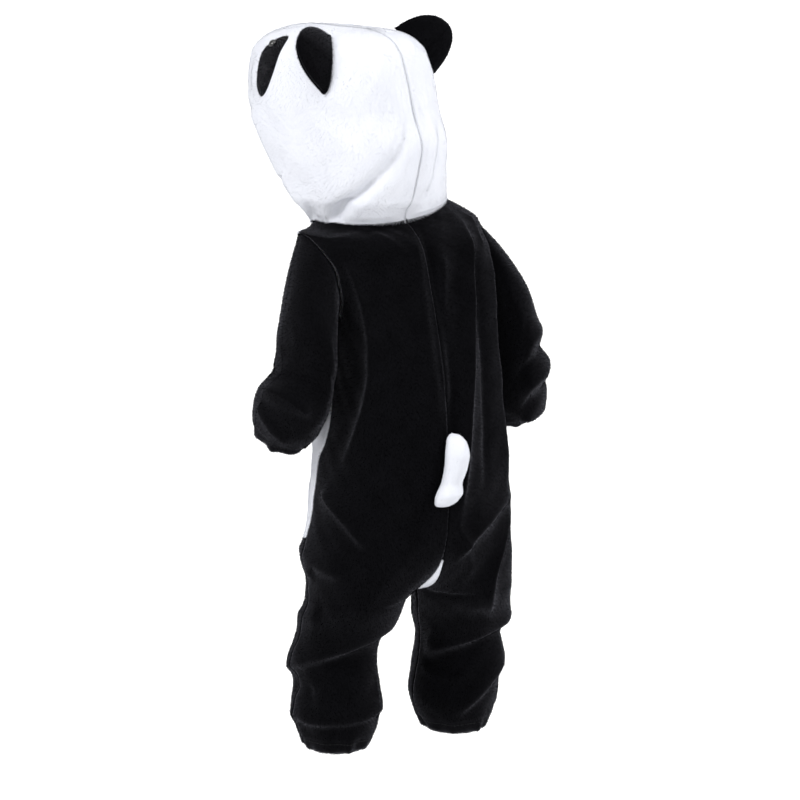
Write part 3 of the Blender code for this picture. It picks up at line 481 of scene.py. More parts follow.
def body_surface(side, u, down):
    """The body's outer side, with its folds, its buckles and the gathers of the hem."""
    u, down = spread(u, down)
    shape = partial(body_shape, side)
    across = u * CLOTH_PER_U
    height = fold_height(BODY_FOLDS + BODY_SMALL_FOLDS, side, across, down)
    off_seam = smooth(np.minimum(u, 1 - u) / SEAM_CALM + (down > FORK))
    height += buckling(side, across, down) * off_seam
    height += gathers(u, HEM - down, GATHERS_ROUND_LEG, side)
    return shape(u, down) + body_outward(side, u, down, shape) * height[..., None]


def level_at_neck(side, u, away, outward):
    """Directions out that turn level towards the neck seam, so that both its edges turn in alike."""
    centre = stack(*BODY.at(0.0, "centre_x", "centre_y"), 0.0)
    ring = body_shape(side, u, np.zeros_like(u)) - centre
    near = (1 - smooth(away / NECK_TURN))[..., None]
    return unit(outward + (unit(ring * np.array([1.0, 1.0, 0.0])) - outward) * near)


def body_cloth(side, u, down):
    """Points on the body's outer side and the directions out of them."""
    u, down = spread(u, down)
    surface = partial(body_surface, side)
    return surface(u, down), level_at_neck(side, u, down, body_outward(side, u, down, surface))


def armhole_u(down):
    """How far the armhole's edge lies from its middle line, in u."""
    return ARMHOLE_U * np.sqrt(np.clip(1 - ((down - ARMHOLE_MIDDLE) / ARMHOLE_HALF) ** 2, 0, 1))


def side_u(down):
    return SIDE_SEAM.at(down, "u")


def refined(stops, step=GRID_STEP):
    """Row positions through all stops, no further apart than the mesh's step."""
    rows = [stops[:1]]
    for start, end in zip(stops[:-1], stops[1:]):
        rows.append(np.linspace(start, end, max(1, math.ceil((end - start) / step)) + 1)[1:])
    return np.concatenate(rows)


def body_rows():
    """Rows down the side, crowded where the armhole's edge and the fork turn quickly."""
    armhole = ARMHOLE_MIDDLE - ARMHOLE_HALF * np.cos(np.linspace(0, math.pi, ARMHOLE_LINES))
    crotch = CROTCH_START + (FORK - CROTCH_START) * np.sin(np.linspace(0, math.pi / 2, CROTCH_LINES))
    seams = [0, GROIN_AT_SIDE - GROIN_BLEND, GROIN_AT_SIDE, GUSSET_TOP, HEM]
    return refined(np.unique(np.concatenate([seams, armhole, crotch])))


def run_lengths(points, axis):
    """The length of cloth from the grid's first and last lines to each point."""
    steps = np.linalg.norm(np.diff(points, axis=axis), axis=-1)
    from_first = np.insert(np.cumsum(steps, axis=axis), 0, 0, axis=axis)
    return from_first, np.take(from_first, [-1], axis=axis) - from_first


EDGES = {"top": (0, 0), "bottom": (0, 1), "first": (1, 0), "last": (1, 1)}


def worked_edges(points, outward, sewn, rims, pile_height, seam_dip):
    """The backing's points: below the pile, dipped at sewn edges and rolled in at free ones."""
    depth = np.full(points.shape[:2], pile_height)
    lengths = {axis: run_lengths(points, axis) for axis in (0, 1)}
    for edge, where in sewn.items():
        axis, end = EDGES[edge]
        depth += where * seam_dip * np.exp(-(lengths[axis][end] / SEAM_REACH) ** 2)
    for edge, where in rims.items():
        axis, end = EDGES[edge]
        inside = np.clip(1 - lengths[axis][end] / RIM_REACH, 0, 1)
        depth += where * RIM_ROLL * (1 - np.sqrt(1 - inside**2))
    return points - outward * depth[..., None]


def turned_in(grids, outward, sewn):
    """Grids of points with one more line along each sewn edge, at the end of its seam allowance."""
    for edge in sorted(sewn, key=lambda name: -EDGES[name][0]):
        axis, end = EDGES[edge]
        line, out = (np.take(grid, [-end], axis=axis) for grid in (grids, outward))
        line = line - out * (SEAM_ALLOWANCE * np.minimum(sewn[edge], 1))[..., None]
        grids, outward = (np.concatenate((piece, grid) if end == 0 else (grid, piece), axis=axis)
                          for grid, piece in ((grids, line), (outward, out)))
    return grids, outward


def cloth_mesh(name, points, outward, laid, finishes):
    """A sheet through a grid of points in millimetres, with a map of the cloth laid flat."""
    rows, columns = points.shape[:2]
    bm = bmesh.new()
    bmesh.ops.create_grid(bm, x_segments=columns - 1, y_segments=rows - 1, size=1.0)
    cloth = bm.loops.layers.uv.new("cloth")
    flat = points.reshape(-1, 3) * MM
    laid = laid[..., :2].reshape(-1, 2) * MM
    for face in bm.faces:
        for loop in face.loops:
            loop[cloth].uv = laid[loop.vert.index]
    for vertex, place in zip(bm.verts, flat):
        vertex.co = place
    winding = np.cross(points[:-1, 1:] - points[:-1, :-1], points[1:, :-1] - points[:-1, :-1])
    if np.sum(winding * outward[:-1, :-1]) < 0:
        bmesh.ops.reverse_faces(bm, faces=bm.faces[:])
    bm.normal_update()
    facing = outward.reshape(-1, 3)
    for face in bm.faces:
        face.smooth = abs(face.normal.dot(facing[face.verts[0].index])) > FLAT_SHADED
    bmesh.ops.remove_doubles(bm, verts=bm.verts[:], dist=WELD * MM)
    return made_object(name, bm, *finishes)


def between_points(grid, row, column):
    """Values of a grid between its points."""
    row = np.clip(row, 0, grid.shape[0] - 1.001)
    column = np.clip(column, 0, grid.shape[1] - 1.001)
    i, j = row.astype(int), column.astype(int)
    a, b = (row - i)[:, None], (column - j)[:, None]
    return ((grid[i, j] * (1 - b) + grid[i, j + 1] * b) * (1 - a)
            + (grid[i + 1, j] * (1 - b) + grid[i + 1, j + 1] * b) * a)


def cell_areas(points):
    across, along = points[:-1, 1:] - points[:-1, :-1], points[1:, :-1] - points[:-1, :-1]
    return np.linalg.norm(np.cross(across, along), axis=-1)


def even_places(areas, axis, share):
    """The row or column numbers that lie at shares of the cloth's whole area along an axis."""
    covered = np.insert(np.cumsum(areas.sum(axis=1 - axis)), 0, 0)
    return np.interp(share * covered[-1], covered, np.arange(len(covered)))


def pile_mesh(name, points, outward, finish, pile_height, hang=0.0):
    """The pile: thin upright blades that lean down the nap, cut loose from a triangulated grid.

    At the first row they hang further, over the seam there.
    """
    wide = np.linalg.norm(np.diff(points, axis=1), axis=-1).sum(axis=1)
    long = np.linalg.norm(np.diff(points, axis=0), axis=-1).sum(axis=0)
    areas = cell_areas(points)
    cells = areas.sum() * BLADES_PER_MM2 / 2
    shape = math.sqrt(wide.mean() / long.mean())
    blades_x, blades_y = (max(2, round(math.sqrt(cells) * share)) for share in (shape, 1 / shape))
    bm = bmesh.new()
    bmesh.ops.create_grid(bm, x_segments=blades_x, y_segments=blades_y, size=1.0)
    bmesh.ops.triangulate(bm, faces=bm.faces[:])
    bmesh.ops.split_edges(bm, edges=bm.edges[:])
    made = made_object(name, bm, finish)
    mesh = made.data
    order = np.zeros(len(mesh.loops), np.int32)
    mesh.loops.foreach_get("vertex_index", order)
    order = order.reshape(-1, 3)
    place = np.zeros(len(mesh.vertices) * 3, np.float32)
    mesh.vertices.foreach_get("co", place)
    middle = np.clip(place.reshape(-1, 3)[order].mean(axis=1) * EDGE_CROWDING, -1, 1) / 2 + 0.5
    chance = np.random.default_rng(len(name) + len(order))
    jitter = chance.uniform(-BLADE_JITTER, BLADE_JITTER, (len(order), 2))
    row = even_places(areas, 0, middle[:, 1] + jitter[:, 1] / blades_y)
    column = even_places(areas, 1, middle[:, 0] + jitter[:, 0] / blades_x)
    root, out = between_points(points, row, column), unit(between_points(outward, row, column))
    nap = np.gradient(points, axis=0)
    down = between_points(nap * -np.sign(nap[..., 2].mean()), row, column)
    down = unit(down - out * np.sum(down * out, axis=1, keepdims=True))
    aside = np.cross(out, down)
    turn = chance.uniform(0, 2 * math.pi, (len(order), 1))
    edge = (np.cos(turn) * aside + np.sin(turn) * down) * BLADE_WIDTH / 2
    scatter = chance.normal(0, BLADE_SCATTER, (len(order), 2))
    height = pile_height * chance.uniform(*BLADE_HEIGHTS, (len(order), 1))
    lean = (down * (BLADE_LEAN + scatter[:, :1]) + aside * scatter[:, 1:]) * pile_height
    from_edge = between_points(run_lengths(points, 0)[0][..., None], row, column)
    lean += (down + FRINGE_LIFT * out) * hang * height * np.exp(-(from_edge / FRINGE_REACH) ** 2)
    foot = root - out * BLADE_ROOT
    corners = np.stack([foot - edge, foot + edge, root + out * height + lean], axis=1)
    placed = np.zeros((len(mesh.vertices), 3))
    placed[order] = corners * MM
    facing = np.zeros((len(mesh.vertices), 3))
    facing[order] = unit(np.stack([out, out, out + BLADE_SHADE * lean], axis=1))
    mesh.vertices.foreach_set("co", placed.astype(np.float32).ravel())
    mesh.update()
    mesh.shade_smooth()
    mesh.normals_split_custom_set_from_vertices(facing)
    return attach(made, "garment")


def in_place_of(node, made, slot):
    """Cloth of the garment that takes its CAD node's place."""
    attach(made, "garment")
    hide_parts(node)


def plush_piece(node, points, outward, laid, plush, flat, area, sewn, rims, held="draped", hang=0.0):
    """One cut piece of plush: backing, rolled or sewn edges and pile, in place of its CAD node."""
    slot, face, back, pile, pile_height, seam_dip = plush
    backing = worked_edges(points, outward, sewn, rims, pile_height, seam_dip)
    cut, facing = turned_in(backing, outward, sewn)
    laid = turned_in(laid, np.zeros_like(outward), sewn)[0]
    made = cloth_mesh(node + "_cloth", cut, facing, laid, (face, back))
    wall = made.modifiers.new("wall", "SOLIDIFY")
    wall.thickness, wall.offset, wall.material_offset, wall.use_even_offset = BACKING * MM, -1, 1, False
    in_place_of(node, made, slot)
    fur = pile_mesh(node + "_pile", backing, outward, pile, pile_height, hang)


def both_halves(node, cloth, u, down, plush, flat, area, sewn, rims, hang=0.0):
    """The left and the right piece of one cut."""
    for side, name in SIDES:
        plush_piece(node + name, *cloth(side, u, down), stack(u * CLOTH_PER_U, down, 0), plush,
                    flat, area, sewn, rims, hang=hang)


def plush_finish(name, dark, light, sheen, tint, bump):
    """Plush seen from outside: tufts that part in streaks along the nap."""
    made = Finish(name, Roughness=0.95, Specular_IOR_Level=0.03, Sheen_Weight=sheen, Sheen_Roughness=0.40,
                  Sheen_Tint=tint)
    streaks = made.noise(made.stretched("cloth", (1.0, 0.35, 1.0)), STREAKS_PER_M)
    patches = made.noise(made.stretched("cloth", (1.0, 1.0, 1.0)), PATCHES_PER_M)
    made.drive(Base_Color=made.blend((streaks * 0.5 + patches * 0.5).between(*PATCH_EDGES), dark, light),
               Normal=made.raised(streaks, bump, 0.4 * MM))
    return made


def knit_finish(name, dark, light):
    """The plush's knitted back, in fine ribs."""
    made = Finish(name, Roughness=0.85, Specular_IOR_Level=0.25)
    laid = made.stretched("cloth", (1.0, 1.0, 1.0))
    ribs = made.node("ShaderNodeTexWave", {"bands_direction": "X"},
                     {"Vector": laid, "Scale": RIBS_PER_M, "Distortion": 0.6})
    made.drive(Base_Color=made.blend(ribs, dark, light), Normal=made.raised(ribs, 0.5, 0.3 * MM))
    return made


BLACK_DARK, BLACK_LIGHT = (0.0012, 0.0012, 0.0016), (0.0024, 0.0024, 0.0031)
BLACK_SHEEN, BLACK_TINT = 0.26, (0.80, 0.80, 0.92)
black_plush = plush_finish("black plush", BLACK_DARK, BLACK_LIGHT, BLACK_SHEEN, BLACK_TINT, 0.1)
black_pile = Finish("black pile", Base_Color=(0.0052, 0.0050, 0.0064), Roughness=1.0, Specular_IOR_Level=0.0)
black_knit = knit_finish("black knit backing", (0.008, 0.008, 0.009), (0.018, 0.018, 0.020))
BLACK = ("plush_black", black_plush, black_knit, black_pile, BLACK_PILE_HEIGHT, BLACK_SEAM_DIP)

BACK_CUT, BACK_AREA, BACK_LINES = (0.235, 0.670), 0.105, 84
rows = body_rows()
back_edge = side_u(rows) + armhole_u(rows)
back_u = back_edge[:, None] + (1 - back_edge)[:, None] * np.linspace(0, 1, BACK_LINES)
both_halves("back_", body_cloth, back_u, rows[:, None], BLACK, BACK_CUT, BACK_AREA,
            sewn={"top": 5, "first": 1, "last": 1}, rims={"bottom": 1})

# ---------------------------------------------------------------------------------------------
# The belly, two halves of white plush either side of the zip, cut off at the groin seam.
ZIP_HALF_WIDTH = 7.0
WHITE_PILE_HEIGHT, WHITE_SEAM_DIP = 0.8, 0.6
FRONT_CUT, FRONT_AREA, FRONT_LINES = (0.150, 0.440), 0.052, 40
WHITE_DARK, WHITE_LIGHT = (0.700, 0.715, 0.770), (0.730, 0.745, 0.795)
white_plush = plush_finish("white plush", WHITE_DARK, WHITE_LIGHT, 0.08, (1.0, 1.0, 1.0), 0.04)
white_pile = Finish("white pile", Base_Color=(0.715, 0.73, 0.785), Roughness=1.0, Specular_IOR_Level=0.0)
white_knit = knit_finish("white knit backing", (0.72, 0.73, 0.74), (0.84, 0.84, 0.85))
WHITE = ("plush_white", white_plush, white_knit, white_pile, WHITE_PILE_HEIGHT, WHITE_SEAM_DIP)


def zip_u(down):
    """Where the front's cloth ends beside the zip tape."""
    return ZIP_HALF_WIDTH / (math.pi * BODY.at(down, "front_depth"))


def groin_down(u):
    """The groin seam: how far down it lies, from the side to the centre front."""
    t = 1 - u / side_u(np.full_like(u, GROIN_AT_SIDE))
    return GROIN_AT_SIDE + (GROIN_AT_CENTRE - GROIN_AT_SIDE) * t


def front_u(rows, share):
    """The u of the front's cloth, from the zip to the side seam and the armhole."""
    start, end = zip_u(rows)[:, None], (side_u(rows) - armhole_u(rows))[:, None]
    return start + (end - start) * share


def front_down(rows, u):
    """Rows of the front, level at the chest and turned down to the groin seam below."""
    turned = smooth((rows - GROIN_AT_SIDE) / GROIN_BLEND + 1)[:, None]
    return rows[:, None] + (groin_down(u) - GROIN_AT_SIDE) * turned


front_rows = rows[rows < GROIN_AT_SIDE + TINY]
front_grid = front_u(front_rows, np.linspace(0, 1, FRONT_LINES))
both_halves("front_", body_cloth, front_grid, front_down(front_rows, front_grid), WHITE, FRONT_CUT,
            FRONT_AREA, sewn={"top": 1, "bottom": 1, "first": 1, "last": 1}, rims={})

# ---------------------------------------------------------------------------------------------
# The front of each leg, black plush from the groin seam to the hem.  The hem is turned up over
# an elastic that gathers it, and a row of stitches round the leg holds it.
LEG_FRONT_CUT, LEG_FRONT_AREA, LEG_FRONT_LINES = (0.190, 0.250), 0.037, 42
UNDER_ZIP = 0.08          # the share of the groin seam that lies under the zip's end
CASING_TURNS = 0.005, 0.995, 200
STITCH_LENGTH, STITCH_APART, STITCH_RADIUS, STITCH_PROUD = 3.0, 3.8, 0.28, 0.4
BLACK_THREAD = (Finish("black thread", Base_Color=(0.012, 0.012, 0.014), Roughness=0.55,
                       Specular_IOR_Level=0.4), "plush_black")
leg_rows = rows[rows > GROIN_AT_SIDE - TINY]
share = np.linspace(0, 1, LEG_FRONT_LINES)
along_groin = np.where(share < UNDER_ZIP, share / UNDER_ZIP * zip_u(leg_rows)[:, None],
                       front_u(leg_rows, np.clip((share - UNDER_ZIP) / (1 - UNDER_ZIP), 0, 1)))
below_groin = smooth((leg_rows - GROIN_AT_SIDE) / GROIN_BLEND)[:, None]
leg_u = along_groin + (side_u(leg_rows)[:, None] * share - along_groin) * below_groin


def leg_down(rows, u):
    """Rows of the leg's front, which start along the groin seam and are level from the fork down."""
    level = smooth((rows - GROIN_AT_SIDE) / (FORK - GROIN_AT_SIDE))[:, None]
    return rows[:, None] + (groin_down(u) - GROIN_AT_SIDE) * (1 - level)


def small_parts(name, bm, finish, slot):
    """Smoothly shaded small parts that are fixed to the garment."""
    made = made_object(name, bm, finish)
    made.data.shade_smooth()
    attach(made, "garment")


def ball(middle, axis, radius, reach):
    """The matrix that makes a unit ball a spindle or a dome: its middle, axis and half sizes."""
    turned = Vector(axis).to_track_quat("Z", "Y").to_matrix().to_4x4()
    sizes = Matrix.Diagonal((radius * MM, radius * MM, reach * MM, 1))
    return Matrix.Translation(Vector(middle) * MM) @ turned @ sizes


def stitches(name, starts, ends, thread):
    """Short stitches, each a small spindle from a start to an end."""
    bm = bmesh.new()
    for start, end in zip(starts, ends):
        shape = ball((start + end) / 2, end - start, STITCH_RADIUS, np.linalg.norm(end - start) / 2)
        bmesh.ops.create_uvsphere(bm, u_segments=6, v_segments=4, radius=1, matrix=shape)
    small_parts(name, bm, *thread)


def places_along(line, length, at):
    """The points that lie at lengths along a line."""
    return np.stack([np.interp(at, length, line[:, axis]) for axis in range(3)], axis=-1)


def stitch_row(name, points, outward, lift, thread):
    """Running stitches along a line of points, lying just proud of the cloth."""
    line = points + outward * lift
    length = run_lengths(line, 0)[0]
    starts = np.arange(0, length[-1] - STITCH_LENGTH, STITCH_APART)
    stitches(name, *(places_along(line, length, at) for at in (starts, starts + STITCH_LENGTH)), thread)


down = leg_down(leg_rows, leg_u)
for side, name in SIDES:
    plush_piece("leg_front_" + name, *body_cloth(side, leg_u, down), stack(leg_u * CLOTH_PER_U, down, 0),
                BLACK, LEG_FRONT_CUT, LEG_FRONT_AREA, sewn={"top": 1, "first": 1, "last": 1},
                rims={"bottom": 1})
    casing = body_cloth(side, np.linspace(*CASING_TURNS), HEM - CASING)
    stitch_row("leg_casing_" + name, *casing, STITCH_PROUD - BLACK_PILE_HEIGHT, BLACK_THREAD)

# ---------------------------------------------------------------------------------------------
# The gusset, a long lens of white plush set between the legs, from the seat to under the zip.
GUSSET_CUT, GUSSET_AREA, GUSSET_LINES = (0.026, 0.128), 0.0027, 9
above_fork = rows[rows < FORK + TINY]
behind = above_fork[above_fork > GUSSET_TOP - TINY]
before = above_fork[above_fork > GROIN_AT_SIDE - TINY]
before = leg_down(before, np.zeros((len(before), 1)))[:, 0]
gusset_down = np.concatenate([behind, before[-2::-1]])
gusset_u = np.concatenate([np.ones(len(behind)), np.zeros(len(before) - 1)])
right_edge, left_edge = (body_cloth(side, gusset_u, gusset_down) for side in (-1, 1))
across = np.linspace(0, 1, GUSSET_LINES)[None, :, None]
points, outward = (right[:, None] + (left - right)[:, None] * across
                   for right, left in zip(right_edge, left_edge))
laid = stack(across[..., 0] * 2 * GUSSET_HALF_WIDTH, run_lengths(points, 0)[0], 0)
plush_piece("crotch_gusset", points, unit(outward), laid, WHITE,
            GUSSET_CUT, GUSSET_AREA, sewn={"first": 0.4, "last": 0.4}, rims={}, held="stretched")

# ---------------------------------------------------------------------------------------------
# The sleeves, each one piece of black plush set into its armhole, bent at the elbow, with soft
# crush folds at the bend and a cuff gathered on elastic.
SLEEVE_CUT, SLEEVE_AREA, SLEEVE_LINES = (0.300, 0.200), 0.048, 85
SLEEVE_LENGTH, UNDERARM_START = 197.0, 66.0
CAP_BLEND, EDGE_BLEND, BEND_REACH = 55.0, 12.0, 20.0
ARM_RADIUS = 43.0         # the sleeve's middling radius, for the waves of its unevenness
UNDERARM_DROP = 1.5       # how steeply the edge under the arm faces down
FINE_STEP, CUFF_STITCHING = 2.9, 140
CLOTH_PER_TURN = 270.0 / (2 * math.pi)
SLEEVE_COLUMNS = "along x y z outer inner half_depth"
SLEEVE_ROWS = [
    (0, 88, -26, -50, 30, 28, 42),
    (30, 102, -18, -78, 37, 25, 45),
    (60, 112, -8, -107, 36, 20, 46),
    (98, 118, -3, -145, 37, 24, 47),
    (130, 126, -8, -175, 41, 31, 48),
    (160, 134, -20, -201, 41, 34, 46),
    (184, 136, -34, -221, 36, 31, 38),
    (197, 136, -41, -232, 31, 28, 33),
]
SLEEVE_FOLDS = [
    (1, -0.20, 130, 0.30, 94, 0, 13, -8, 0),
    (1, -0.05, 148, 0.24, 126, 3, 9, 3, 2),
    (1, 0.62, 128, 0.86, 140, 0, 13, -2, 2),
    (-1, -0.08, 112, 0.36, 94, 0, 10, -5, 0),
    (-1, -0.10, 150, 0.30, 140, 0, 10, -5, 0),
    (-1, 0.62, 128, 0.86, 140, 0, 13, -2, 2),
    (1, -0.02, 141, 0.22, 127, -3, 5.5, 4.0, 2),
    (1, -0.03, 158, 0.19, 169, 0, 5, 3.2, 0),
    (1, 0.24, 82, 0.38, 70, 2, 5, -2.4, 0),
    (1, 0.05, 76, 0.22, 60, 4, 8, 1.5, 0),
    (1, -0.10, 60, 0.02, 100, 4, 8, 1.4, 0),
    (-1, 0.00, 134, 0.28, 114, 2, 8, 5.5, 0),
    (-1, 0.00, 92, 0.26, 74, 3, 9, 4.5, 0),
    (-1, 0.00, 176, 0.28, 162, 3, 8, 5.5, 0),
    (0, 0.55, 156, 0.80, 166, 3, 8, 1.8, 0),
    (0, 0.60, 90, 0.80, 104, 3, 9, 1.6, 0),
]
GATHERS_ROUND_CUFF = 9
SLEEVE = Table(SLEEVE_COLUMNS, SLEEVE_ROWS)


def armhole_place(turn):
    """Where the armhole's edge lies on the body, as u and down."""
    down = ARMHOLE_MIDDLE - ARMHOLE_HALF * np.cos(turn)
    return side_u(down) + ARMHOLE_U * np.sin(turn), down


def sleeve_shape(side, turn, along):
    """The sleeve without folds; turn is 0 on the outer side, pi/2 at the back, pi under the arm."""
    along = np.clip(along, 0, SLEEVE_LENGTH)
    edge = body_surface(side, *armhole_place(turn))
    start = UNDERARM_START * (1 - np.cos(turn)) / 2
    place = start + along * (SLEEVE_LENGTH - start) / SLEEVE_LENGTH
    x, y, z, outer, inner, depth = SLEEVE.at(place, "x", "y", "z", "outer", "inner", "half_depth")
    ahead, behind = (stack(*SLEEVE.at(np.clip(place + s, 0, SLEEVE_LENGTH), "x", "y", "z"))
                     for s in (BEND_REACH, -BEND_REACH))
    run = unit(ahead - behind)
    out = unit(np.array([1.0, 0.0, 0.0]) - run[..., :1] * run)
    back = np.cross(out, run)
    width = np.where(np.cos(turn) > 0, outer, inner) * np.cos(turn)
    tube = stack(x, y, z) + out * width[..., None] + back * (depth * np.sin(turn))[..., None]
    return edge + (tube * np.array([side, 1.0, 1.0]) - edge) * smooth(along / CAP_BLEND)[..., None]


def sleeve_surface(side, turn, along):
    """The sleeve's outer side, with its folds, its buckles and the gathers of the cuff."""
    turn, along = spread(turn, along)
    shape = partial(sleeve_shape, side)
    across = turn / (2 * math.pi) * CLOTH_PER_U
    height = sum(fold_height(SLEEVE_FOLDS, side, across - whole * CLOTH_PER_U, along) for whole in (0, 1))
    height += buckling(side, np.cos(turn) * ARM_RADIUS, along + np.sin(turn) * ARM_RADIUS)
    height = height * smooth(along / CAP_BLEND)
    height += gathers(turn / (2 * math.pi), SLEEVE_LENGTH - along, GATHERS_ROUND_CUFF, side)
    return shape(turn, along) - slopes(shape, turn, along, CLOTH_PER_TURN) * (side * height)[..., None]


def sleeve_cloth(side, turn, along):
    """Points on the sleeve's outer side and the directions out, which meet the body's at the armhole."""
    turn, along = spread(turn, along)
    surface = partial(sleeve_surface, side)
    outward = -slopes(surface, turn, along, CLOTH_PER_TURN) * side
    at_edge = body_cloth(side, *armhole_place(turn))[1] + outward
    at_edge = unit(at_edge + ((1 - np.cos(turn)) / 2)[..., None] * np.array([0, 0, -UNDERARM_DROP]))
    near_edge = (1 - smooth(along / EDGE_BLEND))[..., None]
    return surface(turn, along), unit(outward + (at_edge - outward) * near_edge)


turns = np.linspace(0, 2 * math.pi, SLEEVE_LINES)
along_sleeve = refined(np.array([0, SLEEVE_LENGTH]), FINE_STEP)
for side, name in SIDES:
    points, outward = sleeve_cloth(side, turns[None, :], along_sleeve[:, None])
    laid = stack(turns[None, :] * CLOTH_PER_TURN, along_sleeve[:, None], 0)
    plush_piece("sleeve_" + name, points, outward, laid, BLACK,
                SLEEVE_CUT, SLEEVE_AREA, sewn={"top": 1}, rims={"bottom": 1})
    casing = sleeve_cloth(side, np.linspace(0, 2 * math.pi, CUFF_STITCHING), SLEEVE_LENGTH - CASING)
    stitch_row("cuff_casing_" + name, *casing, STITCH_PROUD - BLACK_PILE_HEIGHT, BLACK_THREAD)

# ---------------------------------------------------------------------------------------------
# The hood, two halves of white plush joined over the crown from brow to nape.  Its nape sags in
# deep folds down to the neck seam.
HOOD_CUT, HOOD_AREA, HOOD_LINES, FACE_LINES = (0.300, 0.320), 0.068, 90, 45
CROWN, BROW, FACE_OPENING_U, HOOD_BASE_BLEND = 230.0, 112.0, 0.235, 20.0
HOOD_PER_U, END_CALM, NECK_FRINGE = 280.0, 20.0, 5.5
HOOD_COLUMNS = "up z half_width back_depth front_depth centre_x centre_y turn square"
HOOD_ROWS = [
    (0, 0, 78, 66, 64, 14, -54, 0, 2.0),
    (18, 18, 84, 80, 88, 18, -60, 7, 2.0),
    (48, 50, 87, 96, 102, 23, -72, 14, 2.1),
    (80, 84, 88, 106, 108, 28, -84, 19, 2.2),
    (112, 116, 88, 104, 110, 33, -94, 20, 2.3),
    (143, 145, 86, 100, 106, 35, -96, 20, 2.4),
    (173, 171, 79, 92, 98, 36, -97, 20, 2.4),
    (196, 187, 64, 77, 83, 36, -97, 20, 2.3),
    (212, 194, 38, 60, 64, 36, -97, 20, 2.1),
    (230, 197, 0, 44, 48, 36, -97, 20, 2.0),
]
HOOD_FOLDS = [
    (1, 0.60, 4, 0.97, 110, -17, 8, -6.5, 0),
    (0, 0.985, 10, 0.985, 180, 0, 9, -3, 0),
    (-1, 0.95, 20, 0.95, 130, 0, 9, 4, 0),
    (-1, 0.92, 12, 0.88, 96, 0, 9, -4, 0),
    (-1, 0.55, 6, 0.74, 70, -8, 11, -4, 0),
    (1, 0.60, 3, 0.82, 44, -6, 4.5, -4.5, 0),
    (1, 0.60, 2, 0.74, 22, -3, 4, -4, 0),
    (1, 0.74, 10, 0.88, 52, -6, 7, 1.2, 0),
    (0, 0.50, 7, 1.0, 7, 0, 6, 3.2, 0),
    (1, 0.34, 30, 0.285, 105, 0, 20, 5, 0),
    (1, 0.46, 2, 0.37, 40, 0, 16, 5, 0),
    (1, 0.26, 115, 0.28, 170, 0, 16, -3, 0),
    (1, 0.40, 30, 0.62, 62, -8, 14, -2.0, 0),
    (1, 0.46, 96, 0.62, 130, -6, 14, -1.6, 0),
    (0, 0.93, 176, 0.99, 190, 0, 9, -1.6, 0),
    (-1, 0.34, 24, 0.52, 60, -6, 12, -2.0, 0),
]
HOOD = Table(HOOD_COLUMNS, HOOD_ROWS)


def hood_shape(side, u, up):
    """The hood without folds: ovals stacked over the neck's own ring."""
    z, width, back, front, centre_x, centre_y, turned, square = HOOD.at(
        up, "z", "half_width", "back_depth", "front_depth", "centre_x", "centre_y", "turn", "square")
    angle = math.pi * u
    depth = np.where(np.cos(angle) > 0, front, back)
    lateral = side * width * np.abs(np.sin(angle)) ** (2 / square) * np.sign(np.sin(angle))
    forward = depth * np.abs(np.cos(angle)) ** (2 / square) * np.sign(np.cos(angle))
    turned = np.radians(turned)
    head = stack(centre_x + lateral * np.cos(turned) + forward * np.sin(turned),
                 centre_y + lateral * np.sin(turned) - forward * np.cos(turned), z)
    ring = body_shape(side, u, np.zeros_like(u)) + stack(0 * z, 0 * z, z)
    return ring + (head - ring) * smooth(up / HOOD_BASE_BLEND)[..., None]


def hood_outward(side, u, up, shape):
    """Outward direction on the hood; on the centre seam it stays in the head's middle plane."""
    outward = slopes(shape, u, np.clip(up, SLOPE_STEP, CROWN - SLOPE_STEP), HOOD_PER_U) * side
    turned = np.radians(HOOD.at(up, "turn"))
    across = stack(np.cos(turned), np.sin(turned), 0 * turned)
    level = outward - across * np.sum(outward * across, axis=-1, keepdims=True)
    outward = np.where(on_centre(u)[..., None], unit(level), outward)
    return np.where((up > CROWN - TINY)[..., None], np.array([0.0, 0.0, 1.0]), outward)


def hood_surface(side, u, up):
    """The hood's outer side, with its folds and its buckles."""
    u, up = spread(u, up)
    shape = partial(hood_shape, side)
    across = u * CLOTH_PER_U
    calm = smooth(np.minimum(u, 1 - u) / SEAM_CALM) * smooth((CROWN - up) / END_CALM) * smooth(up / END_CALM)
    height = fold_height(HOOD_FOLDS, side, across, up) + buckling(side + 1, across, up) * calm
    return shape(u, up) + hood_outward(side, u, up, shape) * height[..., None]


def hood_cloth(side, u, up):
    """Points on the hood's outer side and the directions out of them."""
    u, up = spread(u, up)
    surface = partial(hood_surface, side)
    return surface(u, up), level_at_neck(side, u, up, hood_outward(side, u, up, surface))


up_face = BROW / 2 * (1 - np.cos(np.linspace(0, math.pi, FACE_LINES)))
up_hood = np.concatenate([up_face, refined(np.array([BROW, CROWN]), FINE_STEP)[1:]])
rim_u = FACE_OPENING_U * np.sqrt(np.clip(1 - (2 * up_hood / BROW - 1) ** 2, 0, 1))
hood_u = rim_u[:, None] + (1 - rim_u)[:, None] * np.linspace(0, 1, HOOD_LINES)
open_here = (up_hood < BROW - TINY).astype(float)[:, None]
both_halves("hood_", hood_cloth, hood_u, up_hood[:, None], WHITE, HOOD_CUT, HOOD_AREA,
            sewn={"top": 0.2, "last": 1, "bottom": 0.4, "first": 1 - open_here},
            rims={"first": open_here}, hang=NECK_FRINGE)

